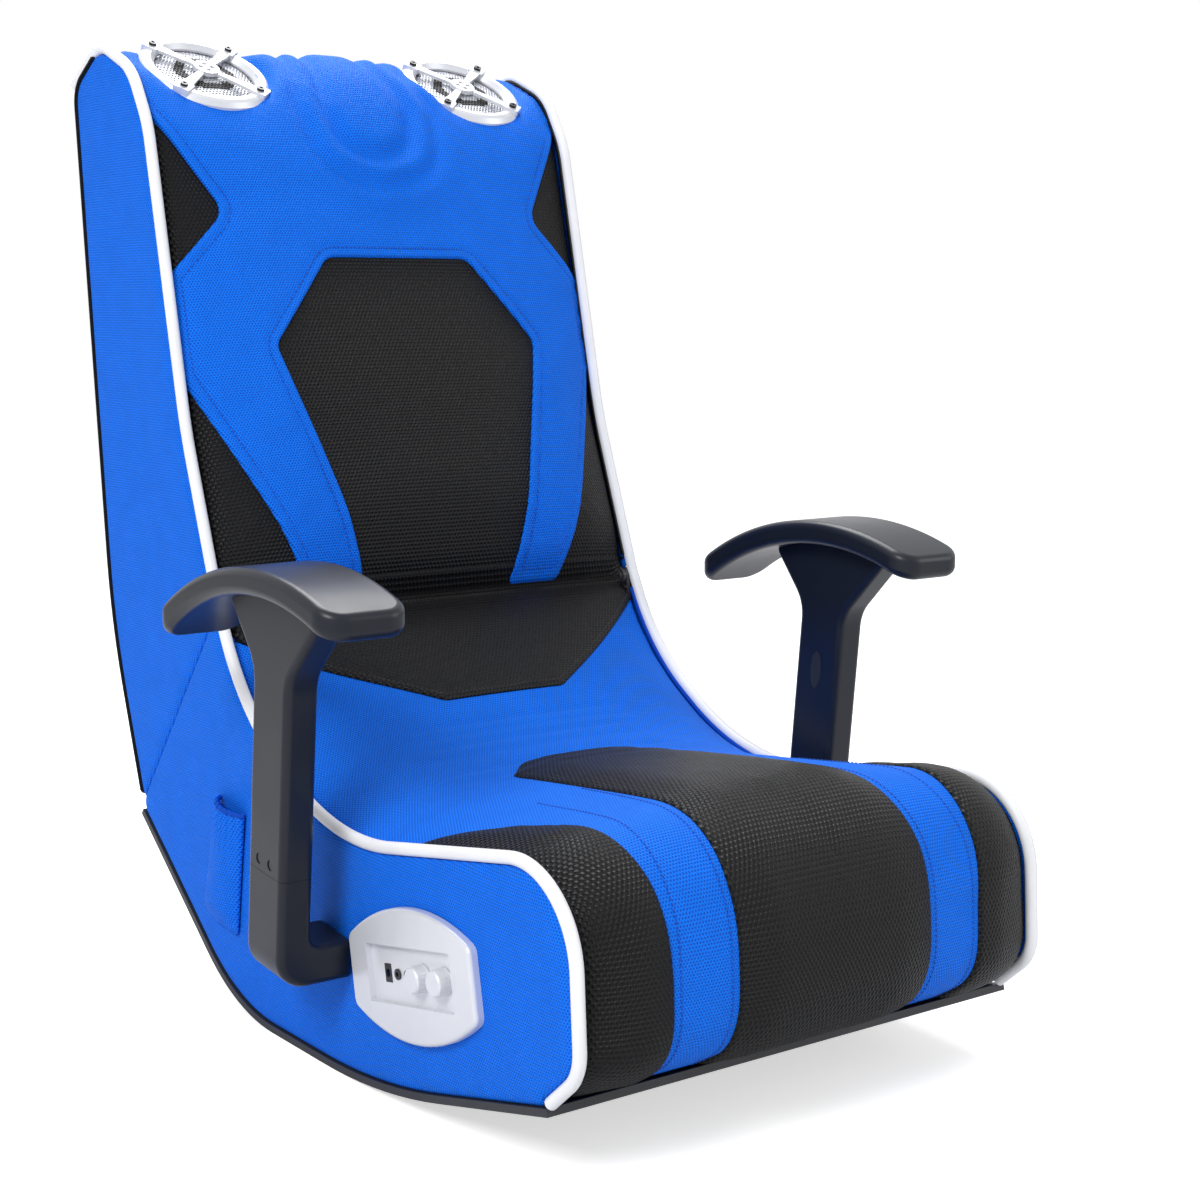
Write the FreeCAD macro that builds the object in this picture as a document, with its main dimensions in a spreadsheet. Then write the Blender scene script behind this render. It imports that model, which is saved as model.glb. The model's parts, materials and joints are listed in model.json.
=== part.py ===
import FreeCAD
import Part
import math
import os
from FreeCAD import Placement, Rotation, Vector

# A floor rocker chair for gaming: a padded seat on a curved base, a folding padded back with two
# speakers at its top, a pair of armrests and an audio control panel on the sitter's right side.
# Millimetres. +Z is up, the chair faces -Y, and X = 0 is its middle plane.
# The origin lies on the floor, under the middle of the bounding box.

doc = FreeCAD.newDocument("gaming_rocker_chair")
sheet = doc.addObject("Spreadsheet::Sheet", "Sizes")

# Each row is a name, a value in millimetres (or degrees where the name says so) and its meaning.
SIZES = [
    ("body_width", 450, "width over the side panels"),
    ("side_thickness", 10, "padded board of a side panel"),
    ("piping_diameter", 10, "welt cord along the seams"),
    ("fit_gap", 0.3, "gap between neighbouring pieces"),
    ("foot_y", -349, "piping: bottom of the front"),
    ("foot_z", 62, "piping: bottom of the front"),
    ("chin_y", -386, "piping: lower bulge of the front"),
    ("chin_z", 94, "piping: lower bulge of the front"),
    ("chin_radius", 34, "piping: lower bulge of the front"),
    ("nose_y", -378, "piping: front edge of the seat"),
    ("nose_z", 239, "piping: front edge of the seat"),
    ("nose_radius", 68, "piping: front edge of the seat"),
    ("dip_y", -47, "piping: lowest part of the seat"),
    ("dip_z", 182, "piping: lowest part of the seat"),
    ("dip_radius", 248, "piping: lowest part of the seat"),
    ("lumbar_y", 98, "piping: below the fold"),
    ("lumbar_z", 275, "piping: below the fold"),
    ("lumbar_radius", 215, "piping: below the fold"),
    ("lumbar_board_radius", 150, "seat board below the fold"),
    ("waist_y", 190, "piping: lower back"),
    ("waist_z", 496, "piping: lower back"),
    ("waist_radius", 400, "piping: lower back"),
    ("brow_y", 248, "piping: upper back"),
    ("brow_z", 756, "piping: upper back"),
    ("brow_radius", 100, "piping: upper back"),
    ("slope_y", 278, "piping: start of the speaker slope"),
    ("slope_z", 805, "piping: start of the speaker slope"),
    ("slope_radius", 60, "piping: start of the speaker slope"),
    ("crest_y", 342, "piping: top of the back"),
    ("crest_z", 832, "piping: top of the back"),
    ("crest_radius", 40, "piping: top of the back"),
    ("shoulder_y", 401, "top corner of the rear"),
    ("shoulder_z", 800, "top corner of the rear"),
    ("shoulder_radius", 30, "top corner of the rear"),
    ("rear_y", 354, "lower rear of the back"),
    ("rear_z", 309, "lower rear of the back"),
    ("rear_radius", 508, "lower rear of the back"),
    ("notch_y", 298, "rear end of the fold seam"),
    ("notch_z", 149, "rear end of the fold seam"),
    ("crease_y", 140, "fold axis at the front end of the seam"),
    ("crease_z", 341, "fold axis at the front end of the seam"),
    ("crease_lead", 8, "piping in front of the fold axis"),
    ("seam_gap", 0.8, "gap along the fold seam"),
    ("fold_relief", 10, "radius kept free round the fold axis"),
    ("base_front_y", -354, "front end of the rocker base"),
    ("base_front_z", 56, "front end of the rocker base"),
    ("base_flat_front", -129, "front corner of the rocker outline"),
    ("base_flat_rear", 113, "rear corner of the rocker outline"),
    ("base_front_radius", 711, "front curve of the rocker"),
    ("base_rear_radius", 200, "rear curve of the rocker"),
    ("base_thickness", 6, "moulded skid under the seat"),
    ("base_rear_y", 296, "rear end of the rocker base"),
    ("base_rear_z", 138, "rear end of the rocker base"),
    ("seat_pad", 50, "foam over the seat board"),
    ("seat_board_thickness", 9, "plywood under the seat foam"),
    ("front_pad_y", -327, "back of the foam at the front"),
    ("seat_crown", 15, "rise of the front edge between the pipings"),
    ("front_crown", 14, "bulge of the front face"),
    ("seat_middle_y", -41, "middle of the seat at its lowest part"),
    ("seat_middle_z", 218, "middle of the seat at its lowest part"),
    ("seat_middle_radius", 200, "middle of the seat at its lowest part"),
    ("lumbar_middle_y", 77, "middle of the seat below the fold"),
    ("lumbar_middle_z", 294, "middle of the seat below the fold"),
    ("lumbar_middle_radius", 400, "middle of the seat below the fold"),
    ("back_pad", 38, "foam in front of the back frame"),
    ("back_crown", 36, "bulge of the lower back between its pipings"),
    ("head_crown", 8, "bulge of the headrest between its pipings"),
    ("panel_thickness", 6, "closing boards and rear cover"),
    ("rail_thickness", 20, "wooden cross rails"),
    ("rail_height", 60, "wooden cross rails"),
    ("tube_diameter", 22, "steel tube of the back frame"),
    ("tube_wall", 1.5, "steel tube of the back frame"),
    ("tube_bend", 60, "bend radius of the back frame"),
    ("frame_y", 213, "lower end of the back frame"),
    ("frame_z", 362, "lower end of the back frame"),
    ("frame_height", 325, "height of the back frame"),
    ("frame_tilt", 14.5, "degrees that the back leans"),
    ("hinge_thickness", 3, "fold hinge leaf"),
    ("hinge_eye_radius", 7, "fold hinge leaf"),
    ("hinge_pin_diameter", 6, "fold hinge pin"),
    ("hinge_clearance", 0.05, "radial clearance of the fold pin"),
    ("seat_leaf_length", 60, "fold hinge leaf on the seat"),
    ("seat_leaf_angle", 262, "degrees of the seat leaf from +Y"),
    ("speaker_inset", 88, "speaker centre from the side of the body"),
    ("speaker_y", 308, "speaker seat on the slope"),
    ("speaker_z", 804, "speaker seat on the slope"),
    ("speaker_tilt", 33, "degrees that a speaker faces forward"),
    ("ring_radius", 61.5, "speaker ring, outside"),
    ("ring_opening", 46, "speaker ring, clear opening"),
    ("ring_height", 10.5, "speaker ring above its seat"),
    ("grille_rise", 4.6, "dome of the speaker mesh"),
    ("grille_thickness", 1, "speaker mesh"),
    ("board_depth", 12, "speaker board below the ring seat"),
    ("board_thickness", 10, "speaker board"),
    ("driver_hole", 39, "radius of the driver hole in the board"),
    ("driver_flange", 45, "radius of the driver flange"),
    ("magnet_radius", 28, "driver magnet"),
    ("magnet_depth", 46, "rear of the magnet below the ring seat"),
    ("arm_gap", 37, "arm post clear of the side panel"),
    ("post_thickness", 28, "arm post across the chair"),
    ("post_front", -92, "front of the arm post at its foot"),
    ("post_rear", -37, "rear of the arm post at its foot"),
    ("post_lean", 0.1, "forward lean of the arm post per millimetre"),
    ("post_bottom", 87, "underside of the arm elbow"),
    ("elbow_height", 31, "height of the arm elbow"),
    ("post_joint", 175, "height of the joint in the arm post"),
    ("flare_front", -163, "front of the arm post under the pad"),
    ("flare_rear", -31, "rear of the arm post under the pad"),
    ("pad_width", 72, "arm pad"),
    ("pad_front", -216, "arm pad"),
    ("pad_rear", 62, "arm pad"),
    ("pad_front_z", 390, "top of the arm pad at its front"),
    ("pad_peak_y", -86, "highest point of the arm pad"),
    ("pad_peak_z", 412, "highest point of the arm pad"),
    ("pad_rear_z", 361, "top of the arm pad at its rear"),
    ("pad_thickness", 21, "arm pad"),
    ("bolt_radius", 4, "arm bolts"),
    ("plate_thickness", 4, "steel plate behind the arm bolts"),
    ("panel_y", -188, "middle of the control panel"),
    ("panel_z", 112, "middle of the control panel"),
    ("panel_tilt", 10.5, "degrees that the control panel rises to the front"),
    ("panel_length", 174, "control panel"),
    ("panel_middle_height", 102, "control panel at its middle"),
    ("panel_end_height", 54, "control panel at its ends"),
    ("panel_depth", 8, "control panel above the side"),
    ("recess_length", 120, "recess of the control panel"),
    ("recess_height", 44, "recess of the control panel"),
    ("panel_floor", 3, "floor of the recess"),
    ("window_length", 108, "opening in the side panel behind the controls"),
    ("window_height", 34, "opening in the side panel behind the controls"),
    ("knob_diameter", 21, "volume and bass knobs"),
    ("knob_height", 11, "volume and bass knobs"),
    ("shaft_radius", 3, "potentiometer shaft"),
    ("running_clearance", 0.05, "radial clearance of a potentiometer shaft"),
    ("volume_place", 14, "volume knob along the panel"),
    ("bass_place", 44, "bass knob along the panel"),
    ("led_place", 29, "indicator along the panel"),
    ("audio_in_place", -22.5, "audio input along the panel"),
    ("audio_out_place", -8.5, "audio output along the panel"),
    ("power_place", -37, "power socket along the panel"),
    ("audio_bore_radius", 1.8, "audio socket"),
    ("audio_bore_depth", 14, "audio socket"),
    ("power_bore_radius", 3.2, "power socket"),
    ("power_bore_depth", 9, "power socket"),
    ("circuit_depth", 12, "circuit board behind the side's outer face"),
    ("pocket_depth", 14, "side pocket, outside"),
    ("pocket_wall", 3, "side pocket"),
]

for row, (name, value, meaning) in enumerate(SIZES, start=1):
    sheet.set("A%d" % row, name)
    sheet.set("B%d" % row, str(value))
    sheet.set("C%d" % row, meaning)
    sheet.setAlias("B%d" % row, name)
doc.recompute()


def size(name):
    """A driving dimension, read from the sheet."""
    return float(sheet.get(name))


HALF_WIDTH = size("body_width") / 2
INNER_X = HALF_WIDTH - size("side_thickness")
FIT = size("fit_gap")
SIDES = (("left", 1), ("right", -1))


# Outlines are lists of (y, z, corner radius) in a plane across X.


def point(name, radius=True):
    """A named corner of the side outline."""
    corner = size(name + "_radius") if radius else 0.0
    return (size(name + "_y"), size(name + "_z"), corner)


def offset(corners, distance):
    """An open outline moved to its left by a distance, with its corners still parallel."""
    moved = []
    for index, (y, z, radius) in enumerate(corners):
        directions = []
        for first, second in ((index - 1, index), (index, index + 1)):
            if first >= 0 and second < len(corners):
                along_y = corners[second][0] - corners[first][0]
                along_z = corners[second][1] - corners[first][1]
                length = math.hypot(along_y, along_z)
                directions.append((along_y / length, along_z / length))
        before, after = directions[0], directions[-1]
        normal_y = -(before[1] + after[1])
        normal_z = before[0] + after[0]
        scale = distance * 2 / (normal_y ** 2 + normal_z ** 2)
        turn = before[0] * after[1] - before[1] * after[0]
        change = -distance if turn > 0 else distance
        new_radius = max(radius + change, 1.0) if radius else 0.0
        moved.append((y + normal_y * scale, z + normal_z * scale, new_radius))
    return moved


def along(first, second, distance):
    """A point at a distance from the first corner towards the second."""
    length = math.hypot(second[0] - first[0], second[1] - first[1])
    return tuple(first[i] + (second[i] - first[i]) * distance / length for i in range(2)) + (0.0,)


def pieces_of(corners, closed):
    """Line and arc geometry through the rounded corners, in a sketch's own plane."""
    count = len(corners)
    trims = []
    for index, (y, z, radius) in enumerate(corners):
        here = Vector(y, z, 0)
        inner_corner = closed or 0 < index < count - 1
        if not inner_corner or radius <= 0:
            trims.append((here, None, here))
            continue
        back = Vector(*corners[index - 1][:2], 0) - here
        ahead = Vector(*corners[(index + 1) % count][:2], 0) - here
        back.normalize()
        ahead.normalize()
        half = back.getAngle(ahead) / 2
        reach = radius / math.tan(half)
        bisector = back + ahead
        bisector.normalize()
        middle = here + bisector * (radius / math.sin(half) - radius)
        trims.append((here + back * reach, middle, here + ahead * reach))
    geometry = []
    for index, (start, middle, end) in enumerate(trims):
        if middle is not None:
            geometry.append(Part.Arc(start, middle, end))
        if index < count - 1 or closed:
            following = trims[(index + 1) % count][0]
            if end.distanceToPoint(following) > 1e-4:
                geometry.append(Part.LineSegment(end, following))
    return geometry


def wire_at(corners, x, closed=True):
    """The rounded outline as a wire in the plane at x."""
    edges = [item.toShape() for item in pieces_of(corners, closed)]
    wire = Part.Wire(Part.__sortEdges__(edges))
    turn = Rotation(Vector(0, 1, 0), Vector(0, 0, 1), Vector(1, 0, 0), "XYZ")
    wire.Placement = Placement(Vector(x, 0, 0), turn)
    return wire


def height_on(corners, y):
    """Height of an open outline above a given y."""
    wire = wire_at(corners, 0, closed=False)
    probe = Part.makeLine(Vector(0, y, -1000), Vector(0, y, 2000))
    gap, points, details = wire.distToShape(probe)
    return points[0][0].z


# The seam between seat and back runs from the crease to the notch.

CREASE = Vector(0, size("crease_y"), size("crease_z"))
NOTCH = Vector(0, size("notch_y"), size("notch_z"))
SEAM_LENGTH = (NOTCH - CREASE).Length
SEAM_ALONG = (NOTCH - CREASE) / SEAM_LENGTH
SEAM_UP = Vector(0, -SEAM_ALONG.z, SEAM_ALONG.y)


def on_seam(along, side, away=0.0):
    """A point beside the seam: side is 1 for the back and -1 for the seat."""
    spot = CREASE + SEAM_ALONG * along + SEAM_UP * side * (size("seam_gap") / 2 + away)
    return (spot.y, spot.z, 0.0)


def cut_by_seam(corners, side, away=0.0):
    """Where the last run of an open outline meets the seam line, beside the given side."""
    y0, z0, ignored = corners[-2]
    y1, z1, ignored = corners[-1]
    start = on_seam(0, side, away)
    run = Vector(0, y1 - y0, z1 - z0)
    rise = run.dot(SEAM_UP)
    gap = Vector(0, start[0] - y0, start[1] - z0).dot(SEAM_UP)
    share = gap / rise
    return (y0 + run.y * share, z0 + run.z * share, 0.0)


PIPE_RADIUS = size("piping_diameter") / 2
LEAD = CREASE - SEAM_ALONG * size("crease_lead")
LEAD_POINT = (LEAD.y, LEAD.z, 0.0)
SEAT_PATH = [point("foot", False), point("chin"), point("nose"), point("dip"), point("lumbar"), LEAD_POINT]
FRONT_PATH = [LEAD_POINT, point("waist"), point("brow"), point("slope"), point("crest")]
REAR_PATH = [point("shoulder"), point("rear"), point("notch", False)]
BASE_PATH = [
    (size("base_front_y"), size("base_front_z"), 0.0),
    (size("base_flat_front"), 0.0, size("base_front_radius")),
    (size("base_flat_rear"), 0.0, size("base_rear_radius")),
    (size("base_rear_y"), size("base_rear_z"), 0.0),
]


# Document helpers.

pieces = []


def keep(piece, label):
    """Register a finished sub-part under its own label."""
    piece.Label = label
    pieces.append(piece)
    return piece


def origin_plane(body, role):
    """One of a body's own origin planes."""
    return [item for item in body.Origin.OriginFeatures if item.Role == role][0]


def add_sketch(body, name, role, geometry, lift=0.0):
    """A sketch on a plane of its own body, lifted along the plane's normal."""
    sketch = body.newObject("Sketcher::SketchObject", name)
    sketch.AttachmentSupport = [(origin_plane(body, role), "")]
    sketch.MapMode = "FlatFace"
    sketch.AttachmentOffset = Placement(Vector(0, 0, lift), Rotation())
    for item in geometry:
        sketch.addGeometry(item)
    return sketch


def add_pad(body, name, sketch, length, reverse=False):
    """A pad whose length is an expression on the sheet."""
    pad = body.newObject("PartDesign::Pad", name)
    pad.Profile = sketch
    pad.Reversed = reverse
    pad.setExpression("Length", length)
    sketch.Visibility = False
    return pad


def add_pocket(body, name, sketch, length, reverse=False):
    """A pocket whose depth is an expression on the sheet."""
    pocket = body.newObject("PartDesign::Pocket", name)
    pocket.Profile = sketch
    pocket.Reversed = reverse
    pocket.setExpression("Length", length)
    return pocket


def circle(x, y, radius):
    """A circle for a sketch."""
    return Part.Circle(Vector(x, y, 0), Vector(0, 0, 1), radius)


def rectangle(x, y, length, height):
    """Four lines for a sketch, about a middle point."""
    corners = [(x - length / 2, y - height / 2), (x + length / 2, y - height / 2),
               (x + length / 2, y + height / 2), (x - length / 2, y + height / 2)]
    return pieces_of([(u, v, 0.0) for u, v in corners], True)


def cross_plate(label, corners, width, start_x, holes=()):
    """A plate cut to an outline of the side view and padded across the chair."""
    body = doc.addObject("PartDesign::Body", label)
    sketch = add_sketch(body, label + "_outline", "YZ_Plane", pieces_of(corners, True) + list(holes))
    add_pad(body, label + "_pad", sketch, width)
    body.setExpression("Placement.Base.x", start_x)
    return keep(body, label)


INNER_WIDTH = "Sizes.body_width - 2 * Sizes.side_thickness - 2 * Sizes.fit_gap"
INNER_START = "-(Sizes.body_width / 2 - Sizes.side_thickness - Sizes.fit_gap)"
SIDE_STARTS = {
    "left": "Sizes.body_width / 2 - Sizes.side_thickness",
    "right": "-Sizes.body_width / 2",
}


def strip(corners, thickness):
    """A closed outline that follows an open one at a constant thickness on its left."""
    return corners + offset(corners, thickness)[::-1]


# Seat shell.


def rocker_base():
    """The moulded skid that the chair stands and rocks on."""
    cross_plate("rocker_base", strip(BASE_PATH, size("base_thickness")),
                "Sizes.body_width - 2 * Sizes.fit_gap", "-Sizes.body_width / 2 + Sizes.fit_gap")


BASE_TOP = offset(BASE_PATH, size("base_thickness") + FIT)
FRONT_FOOT = (size("foot_y") + PIPE_RADIUS, height_on(BASE_TOP, size("foot_y") + PIPE_RADIUS) + FIT, 0.0)


def panel_edge(path):
    """The padded edge of a side board, just inside the piping."""
    return offset(path, -PIPE_RADIUS - FIT)


def seat_side_outline():
    """Side of the seat: piping above, rocker base below, fold seam behind."""
    edge = panel_edge(SEAT_PATH)
    edge[-1] = cut_by_seam(edge, -1)
    base_rear = BASE_TOP[-1]
    return edge + [on_seam(SEAM_LENGTH - 8, -1), base_rear] + BASE_TOP[-2:0:-1] + [FRONT_FOOT]


def back_side_outline():
    """Side of the back: piping in front and above, rear cover behind, fold seam below."""
    whole = offset(FRONT_PATH + REAR_PATH, -PIPE_RADIUS - FIT)
    reverse = whole[::-1]
    reverse[-1] = cut_by_seam(reverse, 1)
    whole = reverse[::-1]
    whole[-1] = cut_by_seam(whole, 1)
    return whole


def window_corner(along, up):
    """A point of the control panel's plane as (y, z)."""
    tilt = math.radians(size("panel_tilt"))
    y = size("panel_y") - along * math.cos(tilt) + up * math.sin(tilt)
    z = size("panel_z") + along * math.sin(tilt) + up * math.cos(tilt)
    return (y, z, 0.0)


def control_window():
    """The opening behind the control panel."""
    half_length = size("window_length") / 2
    half_height = size("window_height") / 2
    signs = ((-1, -1), (1, -1), (1, 1), (-1, 1))
    corners = [window_corner(half_length * u, half_height * v) for u, v in signs]
    return pieces_of(corners, True)


def arm_bolt_places():
    """Where the two bolts of an armrest go through the side, as (y, z)."""
    middle = (size("post_front") + size("post_rear")) / 2
    height = size("post_bottom") + size("elbow_height") / 2
    spread = (size("post_rear") - size("post_front")) / 4
    return [(middle - spread, height), (middle + spread, height)]


def cut_piece(label, base, tools):
    """A base object less a group of tool objects."""
    cut = doc.addObject("Part::Cut", label)
    cut.Base = base
    if len(tools) == 1:
        cut.Tool = tools[0]
    else:
        group = doc.addObject("Part::MultiFuse", label + "_tools")
        group.Shapes = tools
        cut.Tool = group
    return cut


def cylinder_along_x(name, radius, start_x, length, y, z):
    """A cylinder across the chair, with its radius and length as expressions."""
    tool = doc.addObject("Part::Cylinder", name)
    tool.setExpression("Radius", radius)
    tool.setExpression("Height", length)
    tool.Placement = Placement(Vector(start_x, y, z), Rotation(Vector(0, 1, 0), 90))
    return tool


def fold_tool(name):
    """The round space kept free along the fold axis."""
    return cylinder_along_x(name, "Sizes.fold_relief", -HALF_WIDTH - 1, "Sizes.body_width + 2",
                            CREASE.y, CREASE.z)


def side_board(name, outline, side, holes=()):
    """A side board cut to its outline, with a relief round the fold axis."""
    body = doc.addObject("PartDesign::Body", name + "_board")
    geometry = pieces_of(outline, True) + list(holes)
    sketch = add_sketch(body, name + "_outline", "YZ_Plane", geometry)
    add_pad(body, name + "_pad", sketch, "Sizes.side_thickness")
    body.setExpression("Placement.Base.x", SIDE_STARTS[side])
    keep(cut_piece(name, body, [fold_tool(name + "_fold")]), name)


def side_boards():
    """The four padded side boards; those of the seat are drilled for the armrests."""
    drill = size("bolt_radius") + FIT
    for side, sign in SIDES:
        holes = [circle(y, z, drill) for y, z in arm_bolt_places()]
        if side == "right":
            holes += control_window()
        side_board("seat_side_panel_" + side, seat_side_outline(), side, holes)
        side_board("back_side_panel_" + side, back_side_outline(), side)


SEAT_INNER = offset(SEAT_PATH, -PIPE_RADIUS - size("seat_pad"))
SEAT_INNER[4] = SEAT_INNER[4][:2] + (size("lumbar_board_radius"),)
PAD_FRONT = size("front_pad_y")
PAD_NOSE = (PAD_FRONT, height_on(SEAT_INNER[2:5], PAD_FRONT), 0.0)
PAD_FOOT = (PAD_FRONT, height_on(BASE_TOP, PAD_FRONT) + FIT, 0.0)
SEAT_REACH = size("seat_pad") + 10
BACK_REACH = size("back_pad") + 6
BOARD_RUN = [PAD_NOSE] + SEAT_INNER[3:5] + [on_seam(SEAT_REACH, -1)]
STATIONS = (1.0, 0.955, 0.88, 0.77, 0.56, 0.28, 0.0)


def mix(side, middle, share):
    """Corners part of the way from the side outline to the middle one."""
    return [tuple(a + (b - a) * share for a, b in zip(u, v)) for u, v in zip(side, middle)]


def section_loft(name, side_corners, middle_corners, inner_corners):
    """Foam lofted across the chair through crowned sections with one flat inner outline."""
    wires = []
    for place in [-station for station in STATIONS] + list(STATIONS[-2::-1]):
        share = 1 - abs(place) ** 5
        outer = mix(side_corners, middle_corners, share)
        wires.append(wire_at(outer + inner_corners, place * (INNER_X - FIT)))
    loft = doc.addObject("Part::Feature", name)
    loft.Shape = Part.makeLoft(wires, True, True)
    return loft


def seat_cushion():
    """Seat foam: a rolled front, a crowned top and a dished part below the fold."""
    side = offset(SEAT_PATH, -PIPE_RADIUS)
    side[0] = FRONT_FOOT
    side[-1] = on_seam(-size("crease_lead") / 3, -1)
    crown = size("seat_crown")
    front = size("front_crown")
    chin = point("chin")
    nose = point("nose")
    middle = [
        FRONT_FOOT,
        (chin[0] - front, chin[1] - 2, chin[2] + front),
        (nose[0] - front, nose[1] + crown, nose[2] + front),
        point("seat_middle"),
        point("lumbar_middle"),
        on_seam(0, -1),
    ]
    inner = BOARD_RUN[::-1] + [PAD_FOOT]
    loft = section_loft("seat_foam", side, middle, inner)
    tools = [fold_tool("seat_cushion_fold")]
    tools += [leaf_space("seat_cushion_leaf_" + side_name, sign, -1) for side_name, sign in SIDES]
    keep(cut_piece("seat_cushion", loft, tools), "seat_cushion")


def slope_point(along, depth):
    """A point of the speaker slope as (y, z): along it to the rear, and below the ring seat."""
    tilt = math.radians(size("speaker_tilt"))
    y = size("speaker_y") + along * math.cos(tilt) + depth * math.sin(tilt)
    z = size("speaker_z") + along * math.sin(tilt) - depth * math.cos(tilt)
    return (y, z, 0.0)


def speaker_placement(side_sign, lift=0.0):
    """The seat of a speaker, with the local Z axis out of the chair."""
    tilt = size("speaker_tilt")
    base = Vector(side_sign * (HALF_WIDTH - size("speaker_inset")), size("speaker_y"), size("speaker_z"))
    turn = Rotation(Vector(1, 0, 0), tilt)
    return Placement(base + turn.multVec(Vector(0, 0, lift)), turn)


def back_cushion():
    """Back foam: crowned between its pipings, carried over the top, open at the speakers."""
    shoulder = point("shoulder")
    crest = point("crest")
    top_end = tuple(crest[i] + (shoulder[i] - crest[i]) * 0.36 for i in range(2)) + (0.0,)
    side = offset(FRONT_PATH + [top_end], -PIPE_RADIUS)
    start = on_seam(-size("crease_lead") / 3, 1)
    bulge = tuple(start[i] + (side[1][i] - start[i]) * 0.3 for i in range(2))
    side = [start, (bulge[0] - 1.5, bulge[1], 120.0)] + side[1:]
    crown = size("back_crown")
    middle = [
        on_seam(0, 1),
        (side[1][0] - crown * 0.85, side[1][1] + 8, 90.0),
        (side[2][0] - crown + 8, side[2][1] + 44, side[2][2]),
        (side[3][0] - size("head_crown"), side[3][1], side[3][2]),
        (side[4][0] - 4, side[4][1] + 4, side[4][2]),
        (side[5][0], side[5][1] + 7, side[5][2]),
        side[6],
    ]
    depth = size("board_depth") - FIT
    front_line = offset(FRONT_PATH, -PIPE_RADIUS - size("back_pad"))
    inner = [
        slope_point(46, depth),
        slope_point(-52, depth),
        (front_line[2][0] - 12, front_line[2][1] - 55, 0.0),
        (front_line[1][0], front_line[1][1], 0.0),
        on_seam(BACK_REACH, 1),
    ]
    loft = section_loft("back_foam", side, middle, inner)
    tools = [fold_tool("back_cushion_fold")]
    for side_name, sign in SIDES:
        tools.append(leaf_space("back_cushion_leaf_" + side_name, sign, 1))
        well = doc.addObject("Part::Cylinder", "speaker_well_" + side_name)
        well.setExpression("Radius", "Sizes.ring_opening + 2")
        well.Height = 60
        well.Placement = speaker_placement(sign, -30)
        tools.append(well)
        seat = doc.addObject("Part::Cylinder", "speaker_seat_" + side_name)
        seat.setExpression("Radius", "Sizes.ring_radius + Sizes.fit_gap")
        seat.Height = 40
        seat.Placement = speaker_placement(sign)
        tools.append(seat)
    keep(cut_piece("back_cushion", loft, tools), "back_cushion")


def seat_board():
    """Curved plywood that carries the seat foam."""
    top = offset(BOARD_RUN, -FIT)
    top[0] = along(top[0], top[1], size("seat_board_thickness") / 3)
    top[-1] = along(top[-1], top[-2], size("panel_thickness") + 4)
    cross_plate("seat_board", strip(top, -size("seat_board_thickness")), INNER_WIDTH, INNER_START)


def seam_boards():
    """The two boards that close the shells along the fold seam and rest on each other."""
    thickness = size("panel_thickness")
    boards = (("seat_rear_panel", -1, SEAT_REACH + 8), ("back_lower_panel", 1, BACK_REACH + 2))
    for label, side, start in boards:
        corners = [on_seam(start, side), on_seam(SEAM_LENGTH - 12, side),
                   on_seam(SEAM_LENGTH - 12, side, thickness), on_seam(start, side, thickness)]
        cross_plate(label, corners, INNER_WIDTH, INNER_START)


def back_rear_cover():
    """The padded rear cover of the back, over the rear edges of the side boards."""
    shoulder = point("shoulder")
    crest = point("crest")
    top_end = tuple(crest[i] + (shoulder[i] - crest[i]) * 0.42 for i in range(2)) + (0.0,)
    outer = [top_end] + REAR_PATH
    outer[-1] = cut_by_seam(outer, 1)
    inner = offset(outer, -PIPE_RADIUS)
    inner[-1] = cut_by_seam(inner, 1)
    cross_plate("back_rear_cover", outer + inner[::-1], "Sizes.body_width", "-Sizes.body_width / 2")


def seat_rails():
    """Wooden cross rails between the side boards of the seat."""
    thickness = size("rail_thickness")
    board = offset(BOARD_RUN, -size("seat_board_thickness") - 2 * FIT)
    for label, y in (("seat_rail_front", PAD_FRONT + 2), ("seat_rail_rear", size("base_flat_rear") - 30)):
        top = min(height_on(board, y + thickness * share) for share in (0, 0.25, 0.5, 0.75, 1))
        bottom = top - size("rail_height")
        corners = [(y, bottom, 0.0), (y + thickness, bottom, 0.0), (y + thickness, top, 0.0), (y, top, 0.0)]
        cross_plate(label, corners, INNER_WIDTH, INNER_START)


# Piping.


def piping(label, path, x):
    """A welt cord swept along its path."""
    spine = doc.addObject("Part::Feature", label + "_path")
    spine.Shape = wire_at(path, x, closed=False)
    start = Vector(x, path[0][0], path[0][1])
    ahead = Vector(x, path[1][0], path[1][1]) - start
    ring = doc.addObject("Part::Circle", label + "_section")
    ring.setExpression("Radius", "Sizes.piping_diameter / 2")
    ring.Placement = Placement(start, Rotation(Vector(0, 0, 1), ahead))
    sweep = doc.addObject("Part::Sweep", label)
    sweep.Sections = [ring]
    sweep.Spine = (spine, ["Edge%d" % (index + 1) for index in range(len(spine.Shape.Edges))])
    sweep.Solid = True
    keep(sweep, label)


def pipings():
    """The white cords of the seat and the back, held clear of the fold."""
    clear = size("crease_lead") + PIPE_RADIUS + 4
    seat = [along(SEAT_PATH[0], SEAT_PATH[1], PIPE_RADIUS + 3)] + SEAT_PATH[1:-1]
    seat.append(along(SEAT_PATH[-1], SEAT_PATH[-2], clear))
    crest = FRONT_PATH[-1]
    back = [along(FRONT_PATH[0], FRONT_PATH[1], clear)] + FRONT_PATH[1:]
    back.append(along(crest, REAR_PATH[0], 24))
    for side, sign in SIDES:
        x = sign * (HALF_WIDTH - PIPE_RADIUS)
        piping("seat_piping_" + side, seat, x)
        piping("back_piping_" + side, back, x)


# Fold hinge.

LEAF = size("hinge_thickness")
SEAT_LEAF_X = INNER_X - FIT - LEAF
BACK_LEAF_X = SEAT_LEAF_X - FIT - LEAF


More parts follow.
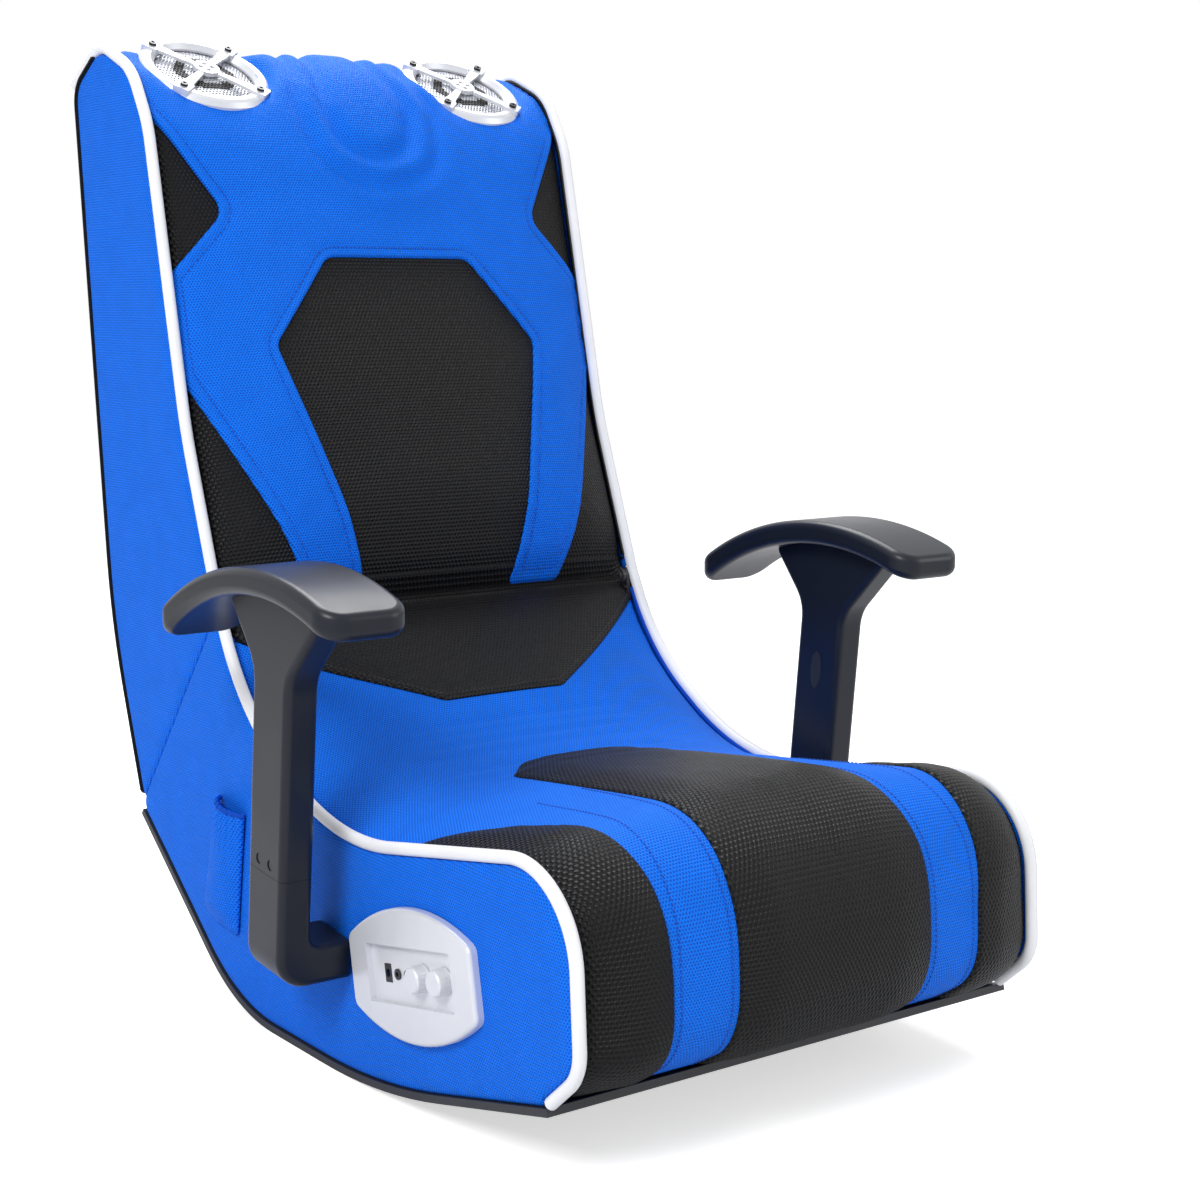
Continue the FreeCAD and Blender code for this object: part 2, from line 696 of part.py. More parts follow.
def frame_placement():
    """The leaning frame of the back, with its local Z axis up along the back."""
    base = Vector(0, size("frame_y"), size("frame_z"))
    return Placement(base, Rotation(Vector(1, 0, 0), -size("frame_tilt")))


def leaf_end(side):
    """Far end of a hinge leaf: on the seat side board, or on the tube of the back frame."""
    if side > 0:
        return frame_placement().multVec(Vector(0, 0, size("tube_diameter")))
    angle = math.radians(size("seat_leaf_angle"))
    return CREASE + Vector(0, math.cos(angle), math.sin(angle)) * size("seat_leaf_length")


def slot_outline(start, end, radius):
    """A straight bar with round ends, for a sketch in (y, z)."""
    run = end - start
    run.normalize()
    across = Vector(0, -run.z, run.y) * radius
    first = [start + across, start - run * radius, start - across]
    second = [end - across, end + run * radius, end + across]
    geometry = []
    for arc in (first, second):
        geometry.append(Part.Arc(*[Vector(spot.y, spot.z, 0) for spot in arc]))
    for one, other in ((first[2], second[0]), (second[2], first[0])):
        geometry.append(Part.LineSegment(Vector(one.y, one.z, 0), Vector(other.y, other.z, 0)))
    return geometry


def leaf_space(name, sign, side):
    """Room in the foam for one hinge leaf."""
    start_x = BACK_LEAF_X if side > 0 else SEAT_LEAF_X
    body = doc.addObject("PartDesign::Body", name)
    radius = size("hinge_eye_radius") + 2
    sketch = add_sketch(body, name + "_outline", "YZ_Plane", slot_outline(CREASE, leaf_end(side), radius))
    add_pad(body, name + "_pad", sketch, "Sizes.body_width / 2 - %f" % (start_x - 1))
    body.Placement.Base.x = start_x - 1 if sign > 0 else -HALF_WIDTH
    return body


def fold_hinges():
    """A pair of leaves and a pin on each side of the fold."""
    bore = size("hinge_pin_diameter") / 2 + size("hinge_clearance")
    for side_name, sign in SIDES:
        for owner, side, start in (("seat", -1, SEAT_LEAF_X), ("back", 1, BACK_LEAF_X)):
            label = "fold_leaf_%s_%s" % (owner, side_name)
            geometry = slot_outline(CREASE, leaf_end(side), size("hinge_eye_radius"))
            hole = bore if side > 0 else size("hinge_pin_diameter") / 2
            body = doc.addObject("PartDesign::Body", label)
            geometry.append(circle(CREASE.y, CREASE.z, hole))
            sketch = add_sketch(body, label + "_outline", "YZ_Plane", geometry)
            add_pad(body, label + "_pad", sketch, "Sizes.hinge_thickness")
            body.Placement.Base.x = start if sign > 0 else -start - LEAF
            keep(body, label)
        pin = doc.addObject("PartDesign::Body", "fold_pin_" + side_name)
        sketch = add_sketch(pin, "fold_pin_section_" + side_name, "XY_Plane", pin_section())
        turn = pin.newObject("PartDesign::Revolution", "fold_pin_turn_" + side_name)
        turn.Profile = sketch
        turn.ReferenceAxis = (sketch, ["H_Axis"])
        turn.Angle = 360
        facing = Rotation() if sign > 0 else Rotation(Vector(0, 0, 1), 180)
        pin.Placement = Placement(CREASE, facing)
        keep(pin, "fold_pin_" + side_name)


def pin_section():
    """Half section of the fold pin, with its head towards the middle."""
    radius = size("hinge_pin_diameter") / 2
    inner = BACK_LEAF_X - FIT
    outer = SEAT_LEAF_X + LEAF
    corners = [(inner - 2, 0), (outer, 0), (outer, radius), (inner, radius), (inner, radius + 2),
               (inner - 2, radius + 2)]
    return pieces_of([(u, v, 0.0) for u, v in corners], True)


# Frame of the back.


def back_frame():
    """A steel tube bent to an upside-down U behind the foam."""
    body = doc.addObject("PartDesign::Body", "back_frame")
    tube_x = BACK_LEAF_X - FIT - size("tube_diameter") / 2
    top = size("frame_height")
    bend = size("tube_bend")
    corners = [(-tube_x, 0, 0.0), (-tube_x, top, bend), (tube_x, top, bend), (tube_x, 0, 0.0)]
    spine = add_sketch(body, "back_frame_path", "XZ_Plane", pieces_of(corners, False))
    radius = size("tube_diameter") / 2
    rings = [circle(-tube_x, 0, radius), circle(-tube_x, 0, radius - size("tube_wall"))]
    profile = add_sketch(body, "back_frame_section", "XY_Plane", rings)
    pipe = body.newObject("PartDesign::AdditivePipe", "back_frame_tube")
    pipe.Profile = profile
    pipe.Spine = (spine, ["Edge%d" % (index + 1) for index in range(5)])
    body.Placement = frame_placement()
    keep(body, "back_frame")


def back_rails():
    """Two wooden rails behind the tube frame, between the side boards."""
    depth = size("tube_diameter") / 2 + FIT
    heights = {"lower": 0, "upper": size("frame_height") - size("rail_height")}
    for name, height in heights.items():
        label = "back_rail_" + name
        rail = doc.addObject("Part::Box", label)
        rail.setExpression("Length", INNER_WIDTH)
        rail.setExpression("Width", "Sizes.rail_thickness")
        rail.setExpression("Height", "Sizes.rail_height")
        place = frame_placement()
        corner = place.multVec(Vector(-INNER_X + FIT, depth, height))
        rail.Placement = Placement(corner, place.Rotation)
        keep(rail, label)


def speaker_board():
    """The board under the top slope that holds both drivers."""
    depth = -size("board_depth")
    plate = doc.addObject("Part::Box", "speaker_board_blank")
    plate.setExpression("Length", INNER_WIDTH)
    plate.Width = 98
    plate.setExpression("Height", "Sizes.board_thickness")
    place = speaker_placement(0)
    corner = place.multVec(Vector(-INNER_X + FIT, -52, depth - size("board_thickness")))
    plate.Placement = Placement(corner, place.Rotation)
    holes = []
    for side, sign in SIDES:
        hole = doc.addObject("Part::Cylinder", "driver_hole_" + side)
        hole.setExpression("Radius", "Sizes.driver_hole")
        hole.Height = 40
        hole.Placement = speaker_placement(sign, depth - 20)
        holes.append(hole)
    keep(cut_piece("speaker_board", plate, holes), "speaker_board")


# Speakers. Each is drawn about its own axis and placed on the slope.


def turned(body, name, corners):
    """A solid of revolution about the body's Z axis from a half section in (radius, height)."""
    sketch = add_sketch(body, name + "_section", "XZ_Plane", pieces_of(corners, True))
    turn = body.newObject("PartDesign::Revolution", name + "_turn")
    turn.Profile = sketch
    turn.ReferenceAxis = (sketch, ["V_Axis"])
    turn.Angle = 360
    return turn


def ring_of(body, name, feature, count):
    """The feature repeated round the body's Z axis."""
    pattern = body.newObject("PartDesign::PolarPattern", name)
    pattern.Originals = [feature]
    pattern.Axis = (origin_line(body, "Z_Axis"), [""])
    pattern.Angle = 360
    pattern.Occurrences = count
    body.Tip = pattern
    return pattern


def origin_line(body, role):
    """One of a body's own origin axes."""
    return [item for item in body.Origin.OriginFeatures if item.Role == role][0]


def rotated(corners, degrees):
    """Corners turned about the origin of a sketch."""
    angle = math.radians(degrees)
    return [(u * math.cos(angle) - v * math.sin(angle), u * math.sin(angle) + v * math.cos(angle), r)
            for u, v, r in corners]


BOSS_SIZE = 15
BOSS_PLACE = 53
HUB_RADIUS = 12


def speaker_ring(side, sign):
    """The moulded ring with four bosses and a four-armed guard."""
    label = "speaker_ring_" + side
    body = doc.addObject("PartDesign::Body", label)
    outer = size("ring_radius")
    opening = size("ring_opening")
    top = size("ring_height")
    corners = [
        (outer, FIT, 0.0), (outer, 4, 0.0), (outer - 3.5, 8, 0.0), (outer - 6.5, top - 1, 0.0),
        (opening + 4, top - 1, 0.0), (opening, 5, 0.0), (opening, 3, 0.0), (opening + 2, 3, 0.0),
        (opening + 2, FIT, 0.0),
    ]
    turned(body, label, corners)
    square = [(u + BOSS_PLACE, v, 1.5) for u, v in ((-7.5, -7.5), (7.5, -7.5), (7.5, 7.5), (-7.5, 7.5))]
    boss_outline = pieces_of(rotated(square, 45), True)
    boss_sketch = add_sketch(body, label + "_boss_outline", "XY_Plane", boss_outline, 5)
    boss = add_pad(body, label + "_boss", boss_sketch, "Sizes.ring_height + 1 - 5")
    ring_of(body, label + "_bosses", boss, 4)
    arm = [(HUB_RADIUS - 3, -2.5, 0.0), (BOSS_PLACE - 2, -5.5, 0.0), (BOSS_PLACE - 2, 5.5, 0.0),
           (HUB_RADIUS - 3, 2.5, 0.0)]
    arm_sketch = add_sketch(body, label + "_arm_outline", "XY_Plane", pieces_of(rotated(arm, 45), True), 8)
    arms = add_pad(body, label + "_arm", arm_sketch, "Sizes.ring_height - 8 + 0.5")
    ring_of(body, label + "_arms", arms, 4)
    openings = [circle(5.6, 0, 2.4), circle(-5.6, 0, 2.4), circle(0, 5.6, 2.4), circle(0, -5.6, 2.4)]
    hub_sketch = add_sketch(body, label + "_hub_outline", "XY_Plane", [circle(0, 0, HUB_RADIUS)], 8)
    add_pad(body, label + "_hub", hub_sketch, "Sizes.ring_height - 8 + 1.5")
    doc.recompute()
    hole_sketch = add_sketch(body, label + "_openings", "XY_Plane", openings, size("ring_height") + 5)
    add_pocket(body, label + "_hub_holes", hole_sketch, "12")
    bore = rotated([(BOSS_PLACE, 0, 0)], 45)[0]
    bore_outline = [circle(bore[0], bore[1], 2.1)]
    bore_sketch = add_sketch(body, label + "_bore_outline", "XY_Plane", bore_outline, top + 5)
    bores = add_pocket(body, label + "_bore", bore_sketch, "Sizes.ring_height + 8")
    ring_of(body, label + "_bores", bores, 4)
    body.Placement = speaker_placement(sign)
    keep(body, label)


def speaker_screws(side, sign):
    """Four socket screws that hold a ring down to the speaker board."""
    label = "speaker_screws_" + side
    head = size("ring_height") + 1 + FIT
    corners = [(0, 2 * FIT, 0.0), (2, 2 * FIT, 0.0), (2, head, 0.0), (3.6, head, 0.0),
               (3.6, head + 2.2, 0.0), (1.6, head + 2.2, 0.0), (1.6, head + 0.8, 0.0), (0, head + 0.8, 0.0)]
    wire = [item.toShape() for item in pieces_of(corners, True)]
    face = Part.Face(Part.Wire(Part.__sortEdges__(wire)))
    face.rotate(Vector(0, 0, 0), Vector(1, 0, 0), 90)
    screw = face.revolve(Vector(0, 0, 0), Vector(0, 0, 1), 360)
    group = []
    for index in range(4):
        copy = screw.copy()
        place = rotated([(BOSS_PLACE, 0, 0)], 45 + 90 * index)[0]
        copy.translate(Vector(place[0], place[1], 0))
        group.append(copy)
    screws = doc.addObject("Part::Feature", label)
    screws.Shape = Part.makeCompound(group)
    screws.Placement = speaker_placement(sign)
    keep(screws, label)


def speaker_grille(side, sign):
    """The domed mesh under the guard."""
    label = "speaker_grille_" + side
    rim = size("ring_opening") + 1.7
    rise = size("grille_rise")
    thick = size("grille_thickness")
    base = 3 - FIT - thick
    flat = 3
    lower = [Vector(flat, base + rise, 0), Vector(rim * 0.5, base + rise * 0.76, 0), Vector(rim - 3, base, 0)]
    upper = [spot + Vector(0, thick, 0) for spot in lower[::-1]]
    rim_run = [lower[2], Vector(rim, base, 0), Vector(rim, base + thick, 0), upper[0]]
    hub_run = [upper[2], Vector(0, base + rise + thick, 0), Vector(0, base + rise, 0), lower[0]]
    section = [Part.Arc(*lower), Part.Arc(*upper)]
    for run in (rim_run, hub_run):
        section += [Part.LineSegment(one, other) for one, other in zip(run, run[1:])]
    body = doc.addObject("PartDesign::Body", label)
    sketch = add_sketch(body, label + "_section", "XZ_Plane", section)
    turn = body.newObject("PartDesign::Revolution", label + "_turn")
    turn.Profile = sketch
    turn.ReferenceAxis = (sketch, ["V_Axis"])
    turn.Angle = 360
    body.Placement = speaker_placement(sign)
    keep(body, label)


def speaker_driver(side, sign):
    """Basket, cone and magnet of a driver, its flange on the speaker board."""
    label = "speaker_driver_" + side
    seat = -size("board_depth") + FIT
    flange = size("driver_flange")
    throat = size("driver_hole") - 1
    magnet = size("magnet_radius")
    rear = -size("magnet_depth")
    corners = [
        (0, seat - 12, 0.0), (9, seat - 14, 0.0), (throat - 6, seat + 1, 0.0), (throat - 2, seat + 3, 0.0),
        (flange, seat + 2.5, 0.0), (flange, seat, 0.0), (throat, seat, 0.0), (magnet - 6, seat - 20, 0.0),
        (magnet, seat - 20, 0.0), (magnet, rear, 0.0), (0, rear, 0.0),
    ]
    body = doc.addObject("PartDesign::Body", label)
    turned(body, label, corners)
    body.Placement = speaker_placement(sign)
    keep(body, label)


def speakers():
    """Both speakers at the top of the back."""
    for side, sign in SIDES:
        speaker_ring(side, sign)
        speaker_grille(side, sign)
        speaker_driver(side, sign)
        speaker_screws(side, sign)


# Armrests. They are drawn on the right and mirrored to the left.

POST_INNER = HALF_WIDTH + size("arm_gap")
POST_OUTER = POST_INNER + size("post_thickness")
POST_MIDDLE_Y = (size("post_front") + size("post_rear")) / 2
POST_DEPTH = size("post_rear") - size("post_front")
LEAN = math.degrees(math.atan(size("post_lean")))
JOINT_RISE = (size("post_joint") - size("post_bottom")) / math.cos(math.radians(LEAN))
TONGUE_HEIGHT = 28
TONGUE_WIDTH = 16
TONGUE_DEPTH = 34
PEG_RADIUS = 4


def arm_placement():
    """Foot of the leaning arm post; local Z runs up along the post."""
    base = Vector(0, POST_MIDDLE_Y, size("post_bottom"))
    return Placement(base, Rotation(Vector(1, 0, 0), LEAN))


def leaning(across, up, radius=0.0):
    """A point of the leaning post as (y, z, corner radius)."""
    spot = arm_placement().multVec(Vector(0, across, up))
    return (spot.y, spot.z, radius)


def mirror(source, label):
    """The left-hand twin of a right-hand piece."""
    twin = doc.addObject("Part::Mirroring", label)
    twin.Source = source
    twin.Normal = Vector(1, 0, 0)
    return twin


def both_sides(piece, name):
    """Register a right-hand piece and its mirror image."""
    keep(piece, name + "_right")
    keep(mirror(piece, name + "_left"), name + "_left")


def pad_arc():
    """Centre and radius of the arched top of an arm pad in (y, z)."""
    front = Vector(size("pad_front"), size("pad_front_z"), 0)
    peak = Vector(size("pad_peak_y"), size("pad_peak_z"), 0)
    rear = Vector(size("pad_rear"), size("pad_rear_z"), 0)
    circle_of_top = Part.Circle(front, peak, rear)
    return circle_of_top.Center, circle_of_top.Radius


def under_pad(y, depth):
    """Height of the curve that lies a depth below the arched pad top."""
    centre, radius = pad_arc()
    return centre.y + math.sqrt((radius - depth) ** 2 - (y - centre.x) ** 2)


def arc_between(y_start, y_end, depth):
    """An arc concentric with the pad top, between two places along the chair."""
    middle = (y_start + y_end) / 2
    spots = [Vector(y, under_pad(y, depth), 0) for y in (y_start, middle, y_end)]
    return Part.Arc(*spots)


def x_edges(shape, x, lowest, highest):
    """Names of the edges in the plane at x that lie between two heights."""
    names = []
    for index, edge in enumerate(shape.Edges):
        box = edge.BoundBox
        in_plane = abs(box.XMin - x) < 0.01 and abs(box.XMax - x) < 0.01
        if in_plane and box.ZMax > lowest and box.ZMax < highest and box.ZLength > 8:
            names.append("Edge%d" % (index + 1))
    return names


def rounded_pad(name, geometry, x, thickness, radius, lowest, highest):
    """A plate across the chair whose upright edges are rounded between two heights."""
    body = doc.addObject("PartDesign::Body", name)
    sketch = add_sketch(body, name + "_outline", "YZ_Plane", geometry, x)
    pad = add_pad(body, name + "_pad", sketch, thickness)
    doc.recompute()
    fillet = body.newObject("PartDesign::Fillet", name + "_rounding")
    far = x + pad.Length.Value
    edges = x_edges(pad.Shape, x, lowest, highest) + x_edges(pad.Shape, far, lowest, highest)
    fillet.Base = (pad, edges)
    fillet.Radius = radius
    body.Tip = fillet
    doc.recompute()
    return body


def arm_post():
    """The upper post, flared under the pad and hollow where the bracket's tongue enters."""
    seat = size("pad_thickness") + FIT
    half = POST_DEPTH / 2
    flare_front = size("flare_front")
    flare_rear = size("flare_rear")
    run = [
        (flare_rear, under_pad(flare_rear, seat), 0.0),
        (flare_rear, under_pad(flare_rear, seat + 9), 0.0),
        leaning(half, 245, 34.0),
        leaning(half, JOINT_RISE + FIT, 0.0),
        leaning(-half, JOINT_RISE + FIT, 0.0),
        leaning(-half, 245, 34.0),
        (flare_front, under_pad(flare_front, seat + 9), 0.0),
        (flare_front, under_pad(flare_front, seat), 0.0),
    ]
    geometry = pieces_of(run, False) + [arc_between(flare_front, flare_rear, seat)]
    top = under_pad(flare_front, seat + 9) + 1
    body = rounded_pad("arm_post_body", geometry, -POST_OUTER, "Sizes.post_thickness", 6,
                       size("post_joint") + 20, top)
    socket = doc.addObject("Part::Box", "arm_post_socket")
    socket.Length = TONGUE_WIDTH + 2 * FIT
    socket.Width = TONGUE_DEPTH + 2 * FIT
    socket.Height = TONGUE_HEIGHT + 2
    place = arm_placement()
    middle_x = -(POST_INNER + POST_OUTER) / 2
    corner = Vector(middle_x - TONGUE_WIDTH / 2 - FIT, -TONGUE_DEPTH / 2 - FIT, JOINT_RISE - 1)
    socket.Placement = Placement(place.multVec(corner), place.Rotation)
    both_sides(cut_piece("arm_post", body, [socket] + screw_tools("arm_post", 0.2)), "arm_post")


def screw_places():
    """The two screws that hold the post to its bracket, as points on its outer face."""
    return [arm_placement().multVec(Vector(-POST_OUTER, across, JOINT_RISE + 9)) for across in (-9, 9)]


def screw_tools(name, clearance):
    """Cylinders for the post screws: a sunk head and a shank each."""
    tools = []
    for index, spot in enumerate(screw_places()):
        for part, radius, start, length in (("head", PEG_RADIUS, -1, 4), ("shank", 2, 0, 14)):
            tool = doc.addObject("Part::Cylinder", "%s_%s_%d" % (name, part, index))
            tool.Radius = radius + clearance
            tool.Height = length
            tool.Placement = Placement(spot + Vector(start, 0, 0), Rotation(Vector(0, 1, 0), 90))
            tools.append(tool)
    return tools


def arm_bracket():
    """The elbow that carries the post off the side of the seat."""
    body = doc.addObject("PartDesign::Body", "arm_bracket_body")
    elbow = size("elbow_height")
    side = -HALF_WIDTH - FIT
    corners = [(-POST_OUTER, JOINT_RISE, 0.0), (-POST_OUTER, 0, 26.0), (side, 0, 3.0), (side, elbow, 3.0),
               (-POST_INNER, elbow, 10.0), (-POST_INNER, JOINT_RISE, 0.0)]
    sketch = add_sketch(body, "arm_bracket_outline", "XZ_Plane", pieces_of(corners, True))
    pad = add_pad(body, "arm_bracket_pad", sketch, "Sizes.post_rear - Sizes.post_front")
    pad.Midplane = True
    doc.recompute()
    half = POST_DEPTH / 2
    names = []
    for index, edge in enumerate(pad.Shape.Edges):
        box = edge.BoundBox
        flat = abs(abs(box.YMin) - half) < 0.01 and abs(abs(box.YMax) - half) < 0.01 and box.YLength < 1
        if flat and box.ZMin < JOINT_RISE - 1 and box.XMax < side - 1:
            names.append("Edge%d" % (index + 1))
    fillet = body.newObject("PartDesign::Fillet", "arm_bracket_rounding")
    fillet.Base = (pad, names)
    fillet.Radius = 6
    body.Tip = fillet
    doc.recompute()
    middle_x = -(POST_INNER + POST_OUTER) / 2
    tongue_outline = rectangle(middle_x, 0, TONGUE_WIDTH, TONGUE_DEPTH)
    tongue = add_sketch(body, "arm_tongue_outline", "XY_Plane", tongue_outline, JOINT_RISE - 1)
    add_pad(body, "arm_tongue", tongue, "%d" % (TONGUE_HEIGHT + 1))
    body.Placement = arm_placement()
    tools = screw_tools("arm_bracket", 0.2)
    for index, (y, z) in enumerate(arm_bolt_places()):
        start = -HALF_WIDTH - 26
        name = "arm_bracket_bore_%d" % index
        tools.append(cylinder_along_x(name, "Sizes.bolt_radius + Sizes.fit_gap / 2", start, "30", y, z))
    both_sides(cut_piece("arm_bracket", body, tools), "arm_bracket")


def arm_pad():
    """The arched pad on top of the post."""
    depth = size("pad_thickness")
    front = size("pad_front")
    rear = size("pad_rear")
    outline = [arc_between(front, rear, 0), arc_between(front, rear, depth)]
    for y in (front, rear):
        ends = [Vector(y, under_pad(y, 0), 0), Vector(y, under_pad(y, depth), 0)]
        outline.append(Part.LineSegment(ends[0], ends[1]))
    body = doc.addObject("PartDesign::Body", "arm_pad")
    middle = (POST_INNER + POST_OUTER) / 2
    sketch = add_sketch(body, "arm_pad_outline", "YZ_Plane", outline, -middle - size("pad_width") / 2)
    pad = add_pad(body, "arm_pad_blank", sketch, "Sizes.pad_width")
    doc.recompute()
    ends = []
    for index, edge in enumerate(pad.Shape.Edges):
        box = edge.BoundBox
        if box.XLength < 0.01 and box.YLength < 1 and box.ZLength > 5:
            ends.append("Edge%d" % (index + 1))
    corners = body.newObject("PartDesign::Fillet", "arm_pad_corners")
    corners.Base = (pad, ends)
    corners.Radius = 20
    body.Tip = corners
    doc.recompute()
    rims = []
    for index, edge in enumerate(corners.Shape.Edges):
        box = edge.BoundBox
        upright = box.XLength < 0.01 and box.YLength < 1
        rising = box.ZLength > depth - 4 and box.YLength < 21 and box.XLength < 21
        if not upright and not rising:
            rims.append("Edge%d" % (index + 1))
    rounding = body.newObject("PartDesign::Fillet", "arm_pad_rounding")
    rounding.Base = (corners, rims)
    rounding.Radius = 7
    body.Tip = rounding
    both_sides(body, "arm_pad")


def arm_fixings():
    """Plates, bolts and screws of the armrests."""
    places = arm_bolt_places()
    middle_y = sum(y for y, z in places) / 2
    height = places[0][1]
    body = doc.addObject("PartDesign::Body", "arm_plate")
    outline = [(y + middle_y, z + height, 4.0) for y, z in ((-40, -22), (40, -22), (40, 22), (-40, 22))]
    holes = [circle(y, z, size("bolt_radius") + 0.1) for y, z in places]
    start = -INNER_X + FIT
    sketch = add_sketch(body, "arm_plate_outline", "YZ_Plane", pieces_of(outline, True) + holes, start)
    add_pad(body, "arm_plate_pad", sketch, "Sizes.plate_thickness")
    both_sides(body, "arm_plate")
    bolts = []
    inner = start + size("plate_thickness")
    for index, (y, z) in enumerate(places):
        length = "%f" % (inner + HALF_WIDTH + 22)
        shank = cylinder_along_x("arm_bolt_shank_%d" % index, "Sizes.bolt_radius",
                                 -HALF_WIDTH - 22, length, y, z)
        head = doc.addObject("Part::Prism", "arm_bolt_head_%d" % index)
        head.Polygon = 6
        head.Circumradius = 7.5
        head.Height = 5
        head.Placement = Placement(Vector(inner + 0.1, y, z), Rotation(Vector(0, 1, 0), 90))
        bolt = doc.addObject("Part::Fuse", "arm_bolt_%d" % index)
        bolt.Base = head
        bolt.Tool = shank
        shank.setExpression("Height", "%f" % (inner + HALF_WIDTH + 23))
        bolts.append(bolt)
    group = doc.addObject("Part::Compound", "arm_bolts")
    group.Links = bolts
    both_sides(group, "arm_bolts")
    screws = []
    for index, spot in enumerate(screw_places()):
        head = doc.addObject("Part::Cylinder", "arm_screw_head_%d" % index)
        head.Radius = PEG_RADIUS
        head.Height = 2.2
        head.Placement = Placement(spot + Vector(0.7, 0, 0), Rotation(Vector(0, 1, 0), 90))
        shank = doc.addObject("Part::Cylinder", "arm_screw_shank_%d" % index)
        shank.Radius = 2
        shank.Height = 11
        shank.Placement = Placement(spot + Vector(2, 0, 0), Rotation(Vector(0, 1, 0), 90))
        screw = doc.addObject("Part::Fuse", "arm_screw_%d" % index)
        screw.Base = head
        screw.Tool = shank
        screws.append(screw)
    pair = doc.addObject("Part::Compound", "arm_screws")
    pair.Links = screws
    both_sides(pair, "arm_screws")


def arms():
    """Both armrests."""
    arm_bracket()
    arm_post()
    arm_pad()
    arm_fixings()


# Control panel on the right side. Local X runs to the front, Y up and Z out of the chair.


def panel_placement():
    """The middle of the control panel on the outer face of the side board."""
    tilt = math.radians(size("panel_tilt"))
    forward = Vector(0, -math.cos(tilt), math.sin(tilt))
    upward = Vector(0, math.sin(tilt), math.cos(tilt))
    base = Vector(-HALF_WIDTH, size("panel_y"), size("panel_z"))
    return Placement(base, Rotation(forward, upward, Vector(-1, 0, 0), "ZXY"))


def control_bezel():
    """One moulding: a curved rim round a sunk plate with the holes for the controls."""
    body = doc.addObject("PartDesign::Body", "control_bezel")
    half = size("panel_length") / 2
    end = size("panel_end_height") / 2
    middle = size("panel_middle_height") / 2
    outline = [
        Part.Arc(Vector(-half, end, 0), Vector(0, middle, 0), Vector(half, end, 0)),
        Part.LineSegment(Vector(half, end, 0), Vector(half, -end, 0)),
        Part.Arc(Vector(half, -end, 0), Vector(0, -middle, 0), Vector(-half, -end, 0)),
        Part.LineSegment(Vector(-half, -end, 0), Vector(-half, end, 0)),
    ]
    sketch = add_sketch(body, "bezel_outline", "XY_Plane", outline, FIT)
    pad = add_pad(body, "bezel_pad", sketch, "Sizes.panel_depth - Sizes.fit_gap")
    doc.recompute()
    ends = []
    for index, edge in enumerate(pad.Shape.Edges):
        box = edge.BoundBox
        if box.XLength < 0.01 and box.YLength < 0.01:
            ends.append("Edge%d" % (index + 1))
    corners = body.newObject("PartDesign::Fillet", "bezel_corners")
    corners.Base = (pad, ends)
    corners.Radius = 9
    body.Tip = corners
    doc.recompute()
    top = size("panel_depth")
    rims = []
    for index, edge in enumerate(corners.Shape.Edges):
        box = edge.BoundBox
        if box.ZMin > top - 0.01:
            rims.append("Edge%d" % (index + 1))
    rim = body.newObject("PartDesign::Fillet", "bezel_rim")
    rim.Base = (corners, rims)
    rim.Radius = 3.5
    body.Tip = rim
    doc.recompute()
    recess = rectangle(0, 0, size("recess_length"), size("recess_height"))
    recess_sketch = add_sketch(body, "bezel_recess_outline", "XY_Plane", recess, top + 1)
    add_pocket(body, "bezel_recess", recess_sketch, "Sizes.panel_depth + 1 - Sizes.panel_floor")
    doc.recompute()
    holes = [circle(size(name + "_place"), 0, size("shaft_radius") + 0.6) for name in ("volume", "bass")]
    holes.append(circle(size("led_place"), 0, 1.6))
    holes += [circle(size(name + "_place"), 0, 3.6) for name in ("audio_in", "audio_out")]
    holes += rectangle(size("power_place"), 0, 9.4, 14.4)
    hole_sketch = add_sketch(body, "bezel_holes_outline", "XY_Plane", holes, top + 1)
    add_pocket(body, "bezel_holes", hole_sketch, "Sizes.panel_depth + 2")
    body.Placement = panel_placement()
    keep(body, "control_bezel")


def sockets():
    """Power socket and the two audio sockets."""
    floor = size("panel_floor")
    rear = -size("circuit_depth")
    body = doc.addObject("PartDesign::Body", "power_socket")
    block = rectangle(size("power_place"), 0, 9, 14)
    sketch = add_sketch(body, "power_socket_outline", "XY_Plane", block, rear)
    add_pad(body, "power_socket_pad", sketch, "Sizes.circuit_depth + Sizes.panel_floor + 0.5")
    doc.recompute()
    bore = [circle(size("power_place"), 0, size("power_bore_radius"))]
    bore_sketch = add_sketch(body, "power_socket_bore_outline", "XY_Plane", bore, floor + 0.5)
    add_pocket(body, "power_socket_bore", bore_sketch, "Sizes.power_bore_depth")
    body.Placement = panel_placement()
    keep(body, "power_socket")
    for name in ("audio_in", "audio_out"):
        label = name + "_socket"
        body = doc.addObject("PartDesign::Body", label)
        place = size(name + "_place")
        block = add_sketch(body, label + "_block_outline", "XY_Plane", rectangle(place, 0, 11, 12), rear)
        add_pad(body, label + "_block", block, "Sizes.circuit_depth - 1")
        neck = add_sketch(body, label + "_neck_outline", "XY_Plane", [circle(place, 0, 3.4)], -2)
        add_pad(body, label + "_neck", neck, "Sizes.panel_floor + 2 + Sizes.fit_gap")
        collar = add_sketch(body, label + "_collar_outline", "XY_Plane", [circle(place, 0, 4.2)], floor + FIT)
        add_pad(body, label + "_collar", collar, "1")
        doc.recompute()
        bore = [circle(place, 0, size("audio_bore_radius"))]
        bore_sketch = add_sketch(body, label + "_bore_outline", "XY_Plane", bore, floor + FIT + 1)
        add_pocket(body, label + "_bore", bore_sketch, "Sizes.audio_bore_depth")
        body.Placement = panel_placement()
        keep(body, label)


